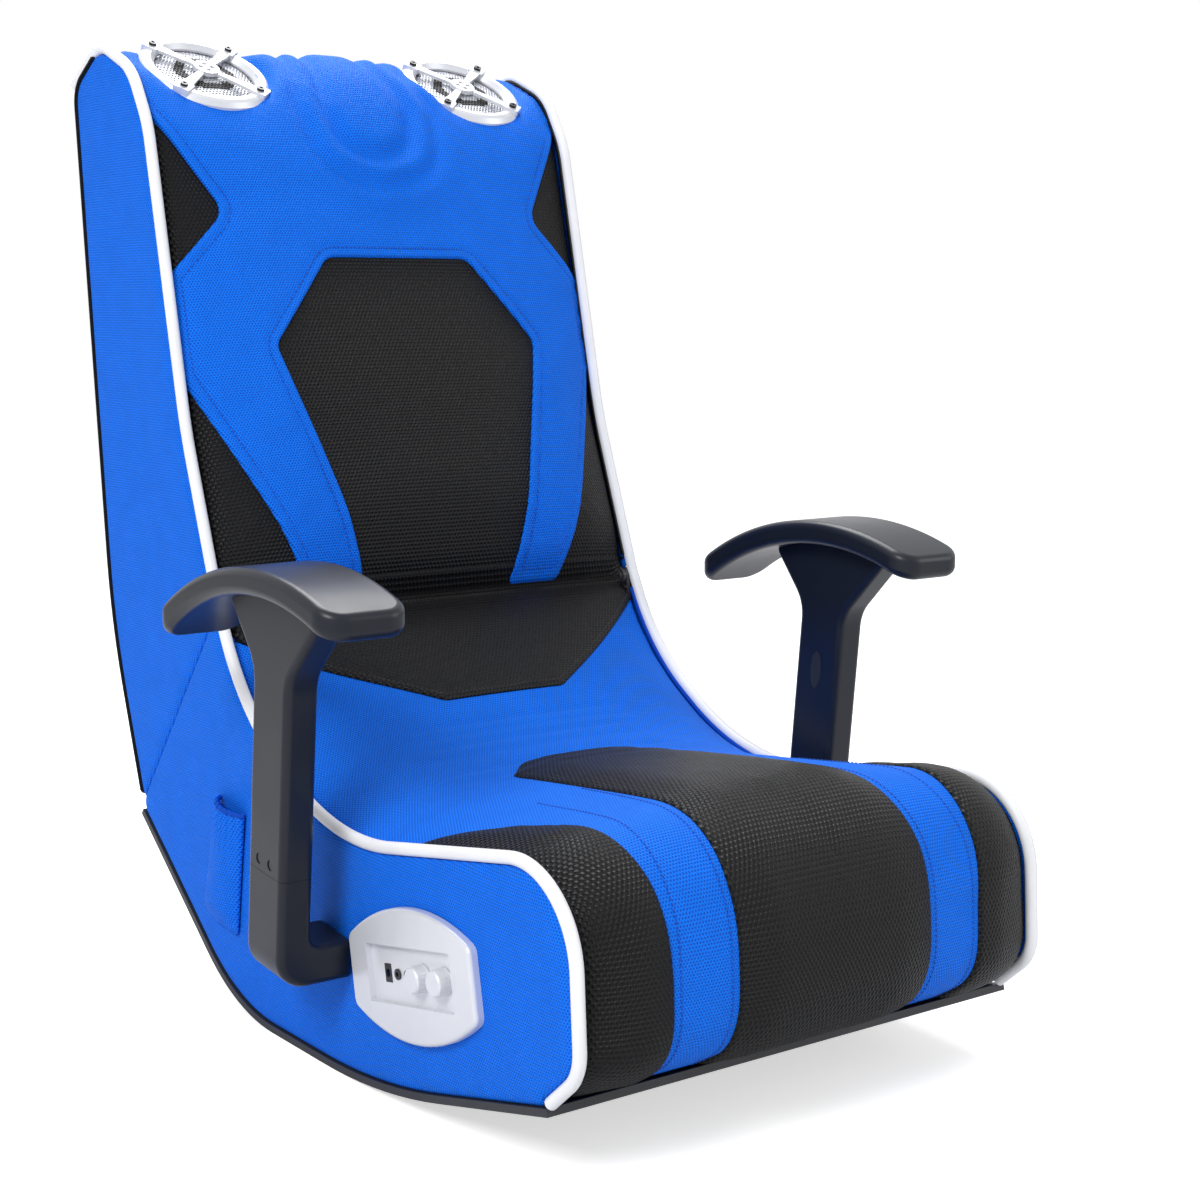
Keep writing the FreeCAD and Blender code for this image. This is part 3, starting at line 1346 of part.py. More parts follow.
def circuit_board():
    """The amplifier board behind the controls."""
    body = doc.addObject("PartDesign::Body", "amplifier_board")
    lift = -size("circuit_depth") - 1.6
    sketch = add_sketch(body, "amplifier_board_outline", "XY_Plane", rectangle(0, 0, 104, 32), lift)
    add_pad(body, "amplifier_board_pad", sketch, "1.6")
    body.Placement = panel_placement()
    keep(body, "amplifier_board")
    led = doc.addObject("PartDesign::Body", "power_light")
    foot = -size("circuit_depth")
    turned(led, "power_light", [(0, foot, 0.0), (1.5, foot, 0.0), (1.5, 3, 0.0), (0, 4, 0.0)])
    place = panel_placement()
    led.Placement = Placement(place.multVec(Vector(size("led_place"), 0, 0)), place.Rotation)
    keep(led, "power_light")


def potentiometers():
    """The two pots on the board, open round their shafts."""
    for name in ("volume", "bass"):
        label = name + "_pot"
        body = doc.addObject("PartDesign::Body", label)
        place = size(name + "_place")
        box = rectangle(place, 0, 14, 14)
        box.append(circle(place, 0, size("shaft_radius") + size("running_clearance")))
        sketch = add_sketch(body, label + "_outline", "XY_Plane", box, -size("circuit_depth"))
        add_pad(body, label + "_pad", sketch, "Sizes.circuit_depth - 2")
        body.Placement = panel_placement()
        keep(body, label)


def knob(name):
    """A fluted knob and the potentiometer shaft that turns with it."""
    label = name + "_knob"
    radius = size("knob_diameter") / 2
    start = size("panel_floor") + 2 * FIT
    height = size("knob_height")
    body = doc.addObject("PartDesign::Body", label + "_cap")
    shaft = size("shaft_radius")
    corners = [(shaft, start, 0.0), (radius, start, 0.0), (radius - 0.6, start + height - 1.2, 0.0),
               (radius - 1.8, start + height, 0.0), (0, start + height, 0.0), (0, start + height - 3, 0.0),
               (shaft, start + height - 3, 0.0)]
    turned(body, label + "_cap", corners)
    doc.recompute()
    flute_sketch = add_sketch(body, label + "_flute_outline", "XY_Plane", [circle(radius + 0.7, 0, 1.2)],
                              start + height + 1)
    flute = add_pocket(body, label + "_flute", flute_sketch, "Sizes.knob_height - 1")
    ring_of(body, label + "_flutes", flute, 20)
    stem = doc.addObject("Part::Cylinder", label + "_stem")
    stem.setExpression("Radius", "Sizes.shaft_radius")
    stem.Height = start + height - 3 + size("circuit_depth") - 1
    stem.Placement = Placement(Vector(0, 0, 1 - size("circuit_depth")), Rotation())
    group = doc.addObject("Part::Compound", label)
    group.Links = [body, stem]
    place = panel_placement()
    group.Placement = Placement(place.multVec(Vector(size(name + "_place"), 0, 0)), place.Rotation)
    keep(group, label)


def controls():
    """Everything in the control panel."""
    control_bezel()
    sockets()
    circuit_board()
    potentiometers()
    for name in ("volume", "bass"):
        knob(name)


def side_pocket():
    """A fabric pouch on the right side, open at the top."""
    body = doc.addObject("PartDesign::Body", "side_pocket")
    outline = [(81, 180, 0.0), (101, 71, 6.0), (161, 78, 6.0), (128, 188, 0.0)]
    wall = size("pocket_wall")
    sketch = add_sketch(body, "side_pocket_outline", "YZ_Plane", pieces_of(outline, True),
                        -HALF_WIDTH - FIT - size("pocket_depth"))
    add_pad(body, "side_pocket_pad", sketch, "Sizes.pocket_depth")
    doc.recompute()
    inside = [(81 + wall, 200, 0.0), (101 + wall, 71 + 2 * wall, 4.0), (159 - 2 * wall, 78 + 2 * wall, 4.0),
              (127 - wall, 200, 0.0)]
    lift = -HALF_WIDTH - FIT - wall
    inner = add_sketch(body, "side_pocket_inside", "YZ_Plane", pieces_of(inside, True), lift)
    add_pocket(body, "side_pocket_hollow", inner, "Sizes.pocket_depth - 2 * Sizes.pocket_wall")
    keep(body, "side_pocket")


rocker_base()
side_boards()
seat_cushion()
back_cushion()
seat_board()
seam_boards()
back_rear_cover()
seat_rails()
pipings()
fold_hinges()
back_frame()
back_rails()
speaker_board()
speakers()
arms()
controls()
side_pocket()
doc.recompute()

for item in doc.Objects:
    if "Invalid" in item.State or "Error" in item.State:
        raise ValueError("%s could not be computed" % item.Label)
for piece in pieces:
    if piece.Shape.isNull() or not piece.Shape.isValid() or not piece.Shape.Solids:
        raise ValueError("%s has no valid solid" % piece.Label)

os.makedirs("parts", exist_ok=True)
for piece in pieces:
    piece.Shape.exportStep("parts/%s.step" % piece.Label)
print("%d pieces written" % len(pieces))
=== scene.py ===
import json
import math

import bmesh
import bpy
import numpy as np
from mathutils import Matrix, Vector, noise as hills
from mathutils.bvhtree import BVHTree
from mathutils.geometry import delaunay_2d_cdt


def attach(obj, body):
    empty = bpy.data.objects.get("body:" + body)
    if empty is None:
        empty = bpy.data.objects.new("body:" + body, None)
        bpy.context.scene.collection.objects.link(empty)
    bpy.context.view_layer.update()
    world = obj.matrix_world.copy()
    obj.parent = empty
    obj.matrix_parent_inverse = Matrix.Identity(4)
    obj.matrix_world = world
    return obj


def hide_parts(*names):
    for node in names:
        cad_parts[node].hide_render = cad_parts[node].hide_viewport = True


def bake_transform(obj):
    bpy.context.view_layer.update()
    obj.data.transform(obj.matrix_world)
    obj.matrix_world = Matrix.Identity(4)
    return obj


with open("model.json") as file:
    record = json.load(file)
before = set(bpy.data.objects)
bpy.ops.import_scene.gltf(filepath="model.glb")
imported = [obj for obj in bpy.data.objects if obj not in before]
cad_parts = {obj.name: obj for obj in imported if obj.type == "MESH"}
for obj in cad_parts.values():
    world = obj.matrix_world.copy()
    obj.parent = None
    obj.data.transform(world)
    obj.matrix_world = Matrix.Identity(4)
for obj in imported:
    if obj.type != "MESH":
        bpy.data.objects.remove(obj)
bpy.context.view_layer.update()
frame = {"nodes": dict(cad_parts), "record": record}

NODES = frame["nodes"]
SIDES = (("left", 1), ("right", -1))

# Metres in the frame of the CAD model, except where a name ends in _MM. The three lines below are
# seen from the side, as (y, z, corner radius): the seat's piping from the front foot to the fold,
# the back's piping from the fold over the top, and the rear cover's outer face from the top down.

MM = 0.001
SEAT_LINE_MM = [(-349, 62, 0), (-386, 94, 34), (-378, 239, 68), (-47, 182, 248), (98, 275, 215),
                (134.9, 347.2, 0)]
BACK_LINE_MM = [(134.9, 347.2, 0), (190, 496, 400), (248, 756, 100), (278, 805, 60),
                (342, 832, 40), (401, 800, 0)]
REAR_LINE_MM = [(351.4, 826.9, 0), (401, 800, 30), (354, 309, 508), (298, 149, 0)]
OUTLINE_STEP = 0.004

# The fold. The crease ends over the hinges, where its bottom rises and leans forward.

CREASE_Y = 0.1435
CREASE_Z = 0.3405
CREASE_REACH = 0.014
HINGE_X = 0.200
HINGE_RAMP = 0.009
HINGE_RISE = 0.0085
RISE_FORWARD = 0.76
RISE_UPWARD = 0.65

# Padding. A cushion is measured no further out than COVER_REACH_X, where its crown still holds.

COVER_REACH_X = 0.2125
RAY_START = 0.12
RAY_LENGTH = 0.2
PAD_SPACING = 0.005
PAD_DEPTH = 0.003
EDGE_RINGS = (0.08, 0.25, 0.5, 0.8, 1.15)
WAVE_HEIGHT = 0.0007
WAVE_SLICE = 0.37

# Pipings and side covers.

PIPE_X = 0.220
PIPE_RADIUS = 0.005
SIDE_X = 0.2205

# Speakers, tilted to lie on the top of the back.

TILT = math.radians(33)
SPEAKER_UP = Vector((0, -math.sin(TILT), math.cos(TILT)))
SPEAKER_ALONG = Vector((0, math.cos(TILT), math.sin(TILT)))
SPEAKER_X = 0.137
SPEAKER_SPOT = Vector((0, 0.308, 0.804))
SPEAKER_OPENING = 0.053

# Thread.

STITCH_PITCH = 0.0042
THREAD_RADIUS = 0.0006
THREAD_SIDES = 6

# A row of holes lies this share of the pitch from the next one, as the centres form triangles.

ROW_SHARE = 0.866


# Lines and outlines.


def rounded(corners, step, closed=False):
    """Points along an outline of (u, v, corner radius), about one step apart."""
    points = []
    count = len(corners)
    for index, (u, v, radius) in enumerate(corners):
        here = Vector((u, v))
        inner = closed or 0 < index < count - 1
        before = Vector(corners[index - 1][:2]) - here
        after = Vector(corners[(index + 1) % count][:2]) - here
        if not inner or radius <= 0 or before.length == 0 or after.length == 0:
            points.append(here)
            continue
        before.normalize()
        after.normalize()
        half = before.angle(after) / 2
        middle = here + (before + after).normalized() * (radius / math.sin(half))
        first = here + before * (radius / math.tan(half)) - middle
        last = here + after * (radius / math.tan(half)) - middle
        turn = math.copysign(first.angle(last), first.x * last.y - first.y * last.x)
        pieces = max(2, math.ceil(radius * abs(turn) / step))
        for number in range(pieces + 1):
            angle = turn * number / pieces
            swing = Vector((first.x * math.cos(angle) - first.y * math.sin(angle),
                            first.x * math.sin(angle) + first.y * math.cos(angle)))
            points.append(middle + swing)
    return divided(points, step, closed)


def divided(points, step, closed=False):
    """The same points with long runs divided."""
    result = []
    ends = points[1:] + points[:1] if closed else points[1:]
    for start, end in zip(points, ends):
        parts = max(1, math.ceil((end - start).length / step))
        result += [start.lerp(end, number / parts) for number in range(parts)]
    if not closed:
        result.append(points[-1])
    return result


class Line:
    """A line in the side view that a cover is laid out along."""

    def __init__(self, corners_mm):
        corners = [(y * MM, z * MM, radius * MM) for y, z, radius in corners_mm]
        points = np.array([tuple(p) for p in rounded(corners, 0.003)])
        gaps = np.linalg.norm(np.diff(points, axis=0), axis=1)
        self.points = points[np.concatenate([[True], gaps > 1e-7])]
        runs = np.diff(self.points, axis=0)
        lengths = np.linalg.norm(runs, axis=1)
        self.places = np.concatenate([[0], np.cumsum(lengths)])
        directions = runs / lengths[:, None]
        bends = np.vstack([directions[:1], (directions[1:] + directions[:-1]) / 2, directions[-1:]])
        self.directions = bends / np.linalg.norm(bends, axis=1)[:, None]
        self.length = float(self.places[-1])

    def at(self, place):
        """The point (y, z) and the outward direction (y, z) at a distance along the line."""
        spot = [np.interp(place, self.places, self.points[:, i]) for i in range(2)]
        ahead = [np.interp(place, self.places, self.directions[:, i]) for i in range(2)]
        size = math.hypot(*ahead)
        return spot, (-ahead[1] / size, ahead[0] / size)

    def places_of(self, coordinates):
        """How far along the line each (y, z) lies."""
        best = np.full(len(coordinates), np.inf)
        result = np.zeros(len(coordinates))
        for index in range(len(self.points) - 1):
            start = self.points[index]
            run = self.points[index + 1] - start
            length = math.hypot(*run)
            share = np.clip((coordinates - start) @ run / length ** 2, 0, 1)
            gap = np.linalg.norm(coordinates - start - share[:, None] * run, axis=1)
            nearer = gap < best
            best[nearer] = gap[nearer]
            result[nearer] = self.places[index] + share[nearer] * length
        return result


SEAT_LINE = Line(SEAT_LINE_MM)
BACK_LINE = Line(BACK_LINE_MM)
REAR_LINE = Line(REAR_LINE_MM)


def edge_distances(points, loop):
    """The distance of each point to a closed outline."""
    points = np.array(points, float)
    starts = np.array([tuple(p) for p in loop], float)
    runs = np.roll(starts, -1, axis=0) - starts
    squares = np.maximum((runs ** 2).sum(1), 1e-12)
    best = np.full(len(points), np.inf)
    for start, run, square in zip(starts, runs, squares):
        share = np.clip((points - start) @ run / square, 0, 1)
        gap = np.linalg.norm(points - start - share[:, None] * run, axis=1)
        best = np.minimum(best, gap)
    return best


def line_distances(points, line):
    """The distance of each point to an open line."""
    starts = np.array([tuple(p) for p in line], float)
    best = np.full(len(points), np.inf)
    for start, end in zip(starts[:-1], starts[1:]):
        run = end - start
        share = np.clip((points - start) @ run / max(run @ run, 1e-12), 0, 1)
        best = np.minimum(best, np.linalg.norm(points - start - share[:, None] * run, axis=1))
    return best


def inside(points, loop):
    """Which points lie inside a closed outline."""
    points = np.array(points, float)
    corners = np.array([tuple(p) for p in loop], float)
    result = np.zeros(len(points), bool)
    for (u0, v0), (u1, v1) in zip(corners, np.roll(corners, -1, axis=0)):
        if v0 == v1:
            continue
        crosses = (v0 > points[:, 1]) != (v1 > points[:, 1])
        where = u0 + (points[:, 1] - v0) * (u1 - u0) / (v1 - v0)
        result ^= crosses & (points[:, 0] < where)
    return result


def inset(loop, distance):
    """A closed outline moved inwards, without the points that come too near its edge."""
    nearest_share = 0.97
    count = len(loop)
    area = sum(loop[i].x * loop[(i + 1) % count].y - loop[(i + 1) % count].x * loop[i].y
               for i in range(count))
    sign = 1 if area > 0 else -1
    moved = []
    for index in range(count):
        run = loop[(index + 1) % count] - loop[index - 1]
        if run.length < 1e-9:
            continue
        normal = Vector((-run.y, run.x)).normalized() * sign
        moved.append(loop[index] + normal * distance)
    gaps = edge_distances([tuple(p) for p in moved], loop)
    return [p for p, gap in zip(moved, gaps) if gap > distance * nearest_share]


# Meshes.


def add_object(name, mesh):
    """A new object in the scene, shaded smooth."""
    piece = bpy.data.objects.new(name, mesh)
    bpy.context.scene.collection.objects.link(piece)
    mesh.polygons.foreach_set("use_smooth", [True] * len(mesh.polygons))
    return piece


def mesh_from(name, vertices, faces):
    """A new object from lists of vertices and faces."""
    mesh = bpy.data.meshes.new(name)
    mesh.from_pydata([tuple(v) for v in vertices], [], faces)
    mesh.validate()
    return add_object(name, mesh)


def paint_layout(piece, flat):
    """Store the cover's own flat coordinates, which its weave follows."""
    attribute = piece.data.attributes.new("layout", "FLOAT_VECTOR", "POINT")
    values = np.zeros((len(flat), 3), np.float32)
    values[:, :2] = flat
    attribute.data.foreach_set("vector", values.ravel())


def vertices_of(piece):
    """Vertex coordinates as an array."""
    values = np.zeros(len(piece.data.vertices) * 3)
    piece.data.vertices.foreach_get("co", values)
    return values.reshape(-1, 3)


def set_vertices(piece, values):
    """Write vertex coordinates back."""
    piece.data.vertices.foreach_set("co", values.ravel())
    piece.data.update()


def finished(piece):
    """Apply every modifier of a piece."""
    graph = bpy.context.evaluated_depsgraph_get()
    mesh = bpy.data.meshes.new_from_object(piece.evaluated_get(graph))
    piece.modifiers.clear()
    piece.data = mesh
    mesh.polygons.foreach_set("use_smooth", [True] * len(mesh.polygons))
    return piece


def tree_of(piece):
    """A search tree of a piece's faces."""
    mesh = piece.data
    return BVHTree.FromPolygons([v.co.copy() for v in mesh.vertices],
                                [tuple(p.vertices) for p in mesh.polygons])


def remeshed(name, node, voxel, rounds):
    """An even, softened copy of a CAD solid."""
    mesh = NODES[node].data.copy()
    work = bmesh.new()
    work.from_mesh(mesh)
    bmesh.ops.remove_doubles(work, verts=work.verts, dist=1e-5)
    work.to_mesh(mesh)
    work.free()
    piece = add_object(name, mesh)
    remesh = piece.modifiers.new("even", "REMESH")
    remesh.mode = "VOXEL"
    remesh.voxel_size = voxel
    smooth = piece.modifiers.new("soft", "SMOOTH")
    smooth.factor = 0.5
    smooth.iterations = rounds
    return finished(piece)


def inflate(piece, free):
    pressure, frames, largest_move = 4, 20, 0.004
    before = vertices_of(piece)
    held = piece.vertex_groups.new(name="held")
    held.add([int(i) for i in np.nonzero(~free)[0]], 1.0, "REPLACE")
    cloth = piece.modifiers.new("stuffing", "CLOTH")
    cloth.settings.quality = 4
    cloth.settings.use_pressure = True
    cloth.settings.uniform_pressure_force = pressure
    cloth.settings.vertex_group_mass = "held"
    cloth.settings.effector_weights.gravity = 0
    cloth.point_cache.frame_start = 1
    cloth.point_cache.frame_end = frames
    for number in range(1, frames + 1):
        bpy.context.scene.frame_set(number)
    finished(piece)
    bpy.context.scene.frame_set(1)
    move = vertices_of(piece) - before
    length = np.linalg.norm(move, axis=1)
    share = np.minimum(1, largest_move / np.maximum(length, 1e-9))
    set_vertices(piece, before + move * share[:, None])


def on_cover(tree, line, crease_at):
    """A function from flat coordinates to the point on a cushion and its outward direction.

    Within reach of the crease, the cover runs straight into it.
    """

    def place(u, v):
        gap = abs(v - crease_at)
        if gap < CREASE_REACH:
            edge = crease_at + math.copysign(CREASE_REACH, line.length / 2 - crease_at)
            spot, out = place(u, edge)
            return crease_point(u).lerp(spot, gap / CREASE_REACH), out
        (y, z), (out_y, out_z) = line.at(v)
        out = Vector((0, out_y, out_z))
        held = max(-COVER_REACH_X, min(COVER_REACH_X, u))
        start = Vector((held, y, z)) + out * RAY_START
        hit = tree.ray_cast(start, -out, RAY_LENGTH)[0]
        if hit is None:
            hit = tree.find_nearest(Vector((held, y, z)))[0]
        return Vector((u, hit.y, hit.z)), out

    return place


def crease_point(x):
    """The bottom of the crease, raised at its ends over the hinges."""
    share = max(0, min(1, (abs(x) - HINGE_X) / HINGE_RAMP))
    rise = HINGE_RISE * share * share * (3 - 2 * share)
    return Vector((x, CREASE_Y - RISE_FORWARD * rise, CREASE_Z + RISE_UPWARD * rise))


def on_wall(x, outward):
    """A function from (y, z) to a point on an upright plane that faces left (1) or right (-1)."""

    def place(u, v):
        return Vector((x, u, v)), Vector((outward, 0, 0))

    return place


def uneven(spot, scale):
    """A slow waviness over a cover, between -1 and 1."""
    return hills.noise(Vector((spot[0] * scale, spot[1] * scale, WAVE_SLICE * scale)))


def panel(name, loop, place, height, edge, depth=PAD_DEPTH, spacing=PAD_SPACING, shape=None,
          skip=None):
    """A closed, padded panel: rounded up over the edge distance, shaped further by a function.

    Where the skip function picks every corner of a face, the panel has an opening.
    """
    points = [tuple(p) for p in loop]
    count = len(points)
    for share in EDGE_RINGS:
        points += [tuple(p) for p in inset(loop, edge * share)]
    low = np.min(points[:count], axis=0)
    high = np.max(points[:count], axis=0)
    columns = np.arange(low[0] + spacing / 2, high[0], spacing)
    rows = np.arange(low[1] + spacing / 2, high[1], spacing)
    grid = np.array([(u, v) for v in rows for u in columns])
    clear = max(edge * 1.3, spacing * 0.6)
    grid = grid[inside(grid, loop)]
    grid = grid[edge_distances(grid, loop) > clear]
    points += [tuple(p) for p in grid]
    edges = [(i, (i + 1) % count) for i in range(count)]
    divided_up = delaunay_2d_cdt([Vector(p) for p in points], edges, [], 1, 1e-6)
    flat = np.array([tuple(p) for p in divided_up[0]])
    faces = divided_up[2]
    distance = edge_distances(flat, loop)
    share = np.clip(distance / edge, 0, 1)
    lift = height * np.sqrt(1 - (1 - share) ** 2)
    waves = np.array([uneven(spot, 16) + 0.5 * uneven(spot, 40) for spot in flat])
    lift += share * WAVE_HEIGHT * waves
    if shape is not None:
        lift = lift + shape(flat, distance)
    upper, lower = [], []
    for (u, v), rise in zip(flat, lift):
        spot, out = place(u, v)
        upper.append(spot + out * float(rise))
        lower.append(spot - out * depth)
    size = len(upper)
    out = place(*flat[faces[0][0]])[1]
    first, second, third = (upper[i] for i in faces[0][:3])
    if (second - first).cross(third - first).dot(out) < 0:
        faces = [tuple(reversed(face)) for face in faces]
    if skip is not None:
        cut = [skip(spot) for spot in upper]
        faces = [face for face in faces if not all(cut[i] for i in face)]
    used = {}
    for face in faces:
        for a, b in zip(face, face[1:] + face[:1]):
            used[(a, b)] = used.get((b, a)) is None
            if (b, a) in used:
                used[(a, b)] = used[(b, a)] = False
    rim = [pair for pair, single in used.items() if single]
    everything = [tuple(face) for face in faces]
    everything += [tuple(i + size for i in reversed(face)) for face in faces]
    everything += [(b, a, a + size, b + size) for a, b in rim]
    piece = mesh_from(name, upper + lower, everything)
    paint_layout(piece, np.vstack([flat, flat]))
    work = bmesh.new()
    work.from_mesh(piece.data)
    loose = [vertex for vertex in work.verts if not vertex.link_faces]
    bmesh.ops.delete(work, geom=loose, context="VERTS")
    work.to_mesh(piece.data)
    work.free()
    return piece


def tube(name, points, radius, sides):
    """A round cord along points in space, closed at both ends."""
    curve = bpy.data.curves.new(name, "CURVE")
    curve.dimensions = "3D"
    curve.bevel_depth = radius
    curve.bevel_resolution = max(1, sides // 4)
    curve.use_fill_caps = True
    spline = curve.splines.new("POLY")
    spline.points.add(len(points) - 1)
    for item, spot in zip(spline.points, points):
        item.co = (*spot, 1)
    holder = bpy.data.objects.new(name + "_line", curve)
    bpy.context.scene.collection.objects.link(holder)
    graph = bpy.context.evaluated_depsgraph_get()
    mesh = bpy.data.meshes.new_from_object(holder.evaluated_get(graph))
    bpy.data.objects.remove(holder)
    return add_object(name, mesh)


def stitches(name, path, length):
    """A row of small stitches along points in space, each a spindle."""
    places = [0.0]
    for one, other in zip(path, path[1:]):
        places.append(places[-1] + (other - one).length)
    vertices, faces = [], []
    table = np.array([tuple(p) for p in path])
    for number in range(int(places[-1] / STITCH_PITCH)):
        ends = []
        for place in (number * STITCH_PITCH, number * STITCH_PITCH + length):
            ends.append(Vector([np.interp(place, places, table[:, i]) for i in range(3)]))
        ahead = ends[1] - ends[0]
        if ahead.length < length * 0.5:
            continue
        ahead.normalize()
        across = ahead.orthogonal().normalized()
        up = ahead.cross(across)
        start = len(vertices)
        vertices.append(ends[0])
        for share in (0.25, 0.75):
            middle = ends[0].lerp(ends[1], share)
            for side in range(THREAD_SIDES):
                angle = math.tau * side / THREAD_SIDES
                around = across * math.cos(angle) + up * math.sin(angle)
                vertices.append(middle + around * THREAD_RADIUS)
        vertices.append(ends[1])
        near, far, tip = start + 1, start + 1 + THREAD_SIDES, start + 1 + 2 * THREAD_SIDES
        for side in range(THREAD_SIDES):
            following = (side + 1) % THREAD_SIDES
            faces.append((start, near + following, near + side))
            faces.append((near + side, near + following, far + following, far + side))
            faces.append((tip, far + side, far + following))
    return mesh_from(name, vertices, faces)


# Materials.


def new_material(name):
    """An empty node material, its tree and its main shader."""
    material = bpy.data.materials.new(name)
    material.use_nodes = True
    tree = material.node_tree
    return material, tree, tree.nodes["Principled BSDF"]


def calculate(tree, operation, *values):
    """A math node; values are numbers or sockets."""
    node = tree.nodes.new("ShaderNodeMath")
    node.operation = operation
    for index, value in enumerate(values):
        if isinstance(value, (int, float)):
            node.inputs[index].default_value = value
        else:
            tree.links.new(value, node.inputs[index])
    return node.outputs[0]


def vector_step(tree, operation, *values):
    """A vector math node; values are triples or sockets."""
    node = tree.nodes.new("ShaderNodeVectorMath")
    node.operation = operation
    for index, value in enumerate(values):
        if isinstance(value, tuple):
            node.inputs[index].default_value = value
        else:
            tree.links.new(value, node.inputs[index])
    return node


def ranged(tree, value, low, high, new_low=0.0, new_high=1.0):
    """A smooth step between two values."""
    node = tree.nodes.new("ShaderNodeMapRange")
    node.interpolation_type = "SMOOTHSTEP"
    tree.links.new(value, node.inputs["Value"])
    settings = (("From Min", low), ("From Max", high), ("To Min", new_low), ("To Max", new_high))
    for label, number in settings:
        node.inputs[label].default_value = number
    return node.outputs[0]


def mixed(tree, share, first, second):
    """A colour between two others; each is a triple or a socket."""
    node = tree.nodes.new("ShaderNodeMix")
    node.data_type = "RGBA"
    tree.links.new(share, node.inputs["Factor"])
    for label, value in (("A", first), ("B", second)):
        socket = [s for s in node.inputs if s.name == label and s.type == "RGBA"][0]
        if isinstance(value, tuple):
            socket.default_value = (*value, 1)
        else:
            tree.links.new(value, socket)
    return [s for s in node.outputs if s.type == "RGBA"][0]


def noise(tree, source, scale, detail=3):
    """Fractal noise at a scale per metre."""
    node = tree.nodes.new("ShaderNodeTexNoise")
    node.inputs["Scale"].default_value = scale
    node.inputs["Detail"].default_value = detail
    tree.links.new(source, node.inputs["Vector"])
    return node.outputs["Fac"]


def bumped(tree, shader, height, distance, strength=1.0):
    """Relief on a shader."""
    node = tree.nodes.new("ShaderNodeBump")
    node.inputs["Distance"].default_value = distance
    node.inputs["Strength"].default_value = strength
    tree.links.new(height, node.inputs["Height"])
    tree.links.new(node.outputs[0], shader.inputs["Normal"])


def object_place(tree):
    """Coordinates of the frame."""
    return tree.nodes.new("ShaderNodeTexCoord").outputs["Object"]


def spacer_mesh(name, thread, hole, pitch, hole_size, relief, rough):
    """Knitted spacer fabric with rows of small holes, laid out on the cover's flat coordinates.

    The holes lie on two rectangular grids, the second moved by half a cell. A hole's size is its
    radius as a share of the pitch.
    """
    material, tree, shader = new_material(name)
    layout = tree.nodes.new("ShaderNodeAttribute")
    layout.attribute_name = "layout"
    scale = 1 / pitch
    high = (0.5, ROW_SHARE, 1.0)
    low = tuple(-side for side in high)
    flat = vector_step(tree, "MULTIPLY", layout.outputs["Vector"], (scale, scale, 0.0)).outputs[0]
    moved = vector_step(tree, "ADD", flat, (*high[:2], 0.0)).outputs[0]
    lengths = []
    for source in (flat, moved):
        wrap = vector_step(tree, "WRAP", source, high, low)
        lengths.append(vector_step(tree, "LENGTH", wrap.outputs[0]).outputs["Value"])
    nearest = calculate(tree, "MINIMUM", *lengths)
    thread_share = ranged(tree, nearest, hole_size * 0.75, hole_size * 1.3)
    place = object_place(tree)
    cloudy = noise(tree, place, 35)
    fuzzy = noise(tree, place, 900, 2)
    tint = mixed(tree, ranged(tree, cloudy, 0.3, 0.7), tuple(c * 0.88 for c in thread), thread)
    tint = mixed(tree, ranged(tree, fuzzy, 0.25, 0.75), tuple(c * 0.8 for c in thread), tint)
    color = mixed(tree, thread_share, hole, tint)
    tree.links.new(color, shader.inputs["Base Color"])
    rounded_thread = ranged(tree, nearest, hole_size * 0.6, 0.58)
    height = calculate(tree, "ADD", rounded_thread, calculate(tree, "MULTIPLY", fuzzy, 0.25))
    bumped(tree, shader, height, relief)
    shader.inputs["Roughness"].default_value = rough
    shader.inputs["Specular IOR Level"].default_value = 0.18
    return material


def woven(name, color, scale, relief, rough):
    """Plain woven cloth."""
    material, tree, shader = new_material(name)
    place = object_place(tree)
    waves = []
    for direction in ("X", "Z"):
        node = tree.nodes.new("ShaderNodeTexWave")
        node.bands_direction = direction
        node.inputs["Scale"].default_value = scale
        node.inputs["Distortion"].default_value = 0.4
        tree.links.new(place, node.inputs["Vector"])
        waves.append(node.outputs["Fac"])
    height = calculate(tree, "MAXIMUM", *waves)
    tint = mixed(tree, height, tuple(c * 0.55 for c in color), color)
    tree.links.new(tint, shader.inputs["Base Color"])
    bumped(tree, shader, height, relief)
    shader.inputs["Roughness"].default_value = rough
    shader.inputs["Specular IOR Level"].default_value = 0.2
    return material


def moulded(name, color, rough, grain=700, relief=0.00006, metal=0.0, coat=0.0, specular=0.5):
    """Moulded plastic, paint or metal with a fine grain and a little unevenness."""
    material, tree, shader = new_material(name)
    place = object_place(tree)
    fine = noise(tree, place, grain, 2)
    broad = noise(tree, place, 14)
    tint = mixed(tree, ranged(tree, broad, 0.3, 0.7), tuple(c * 0.93 for c in color), color)
    tree.links.new(tint, shader.inputs["Base Color"])
    tree.links.new(ranged(tree, broad, 0.2, 0.8, rough - 0.04, rough + 0.05),
                   shader.inputs["Roughness"])
    bumped(tree, shader, fine, relief, 0.6)
    shader.inputs["Metallic"].default_value = metal
    shader.inputs["Coat Weight"].default_value = coat
    shader.inputs["Coat Roughness"].default_value = 0.2
    shader.inputs["Specular IOR Level"].default_value = specular
    return material


def plywood(name):
    """Pale plywood with a long grain."""
    material, tree, shader = new_material(name)
    place = object_place(tree)
    stretched = vector_step(tree, "MULTIPLY", place, (6.0, 60.0, 60.0)).outputs[0]
    grain = noise(tree, stretched, 1.0, 6)
    tint = mixed(tree, ranged(tree, grain, 0.3, 0.7), (0.42, 0.27, 0.14), (0.66, 0.49, 0.31))
    tree.links.new(tint, shader.inputs["Base Color"])
    bumped(tree, shader, grain, 0.0002)
    shader.inputs["Roughness"].default_value = 0.65
    return material


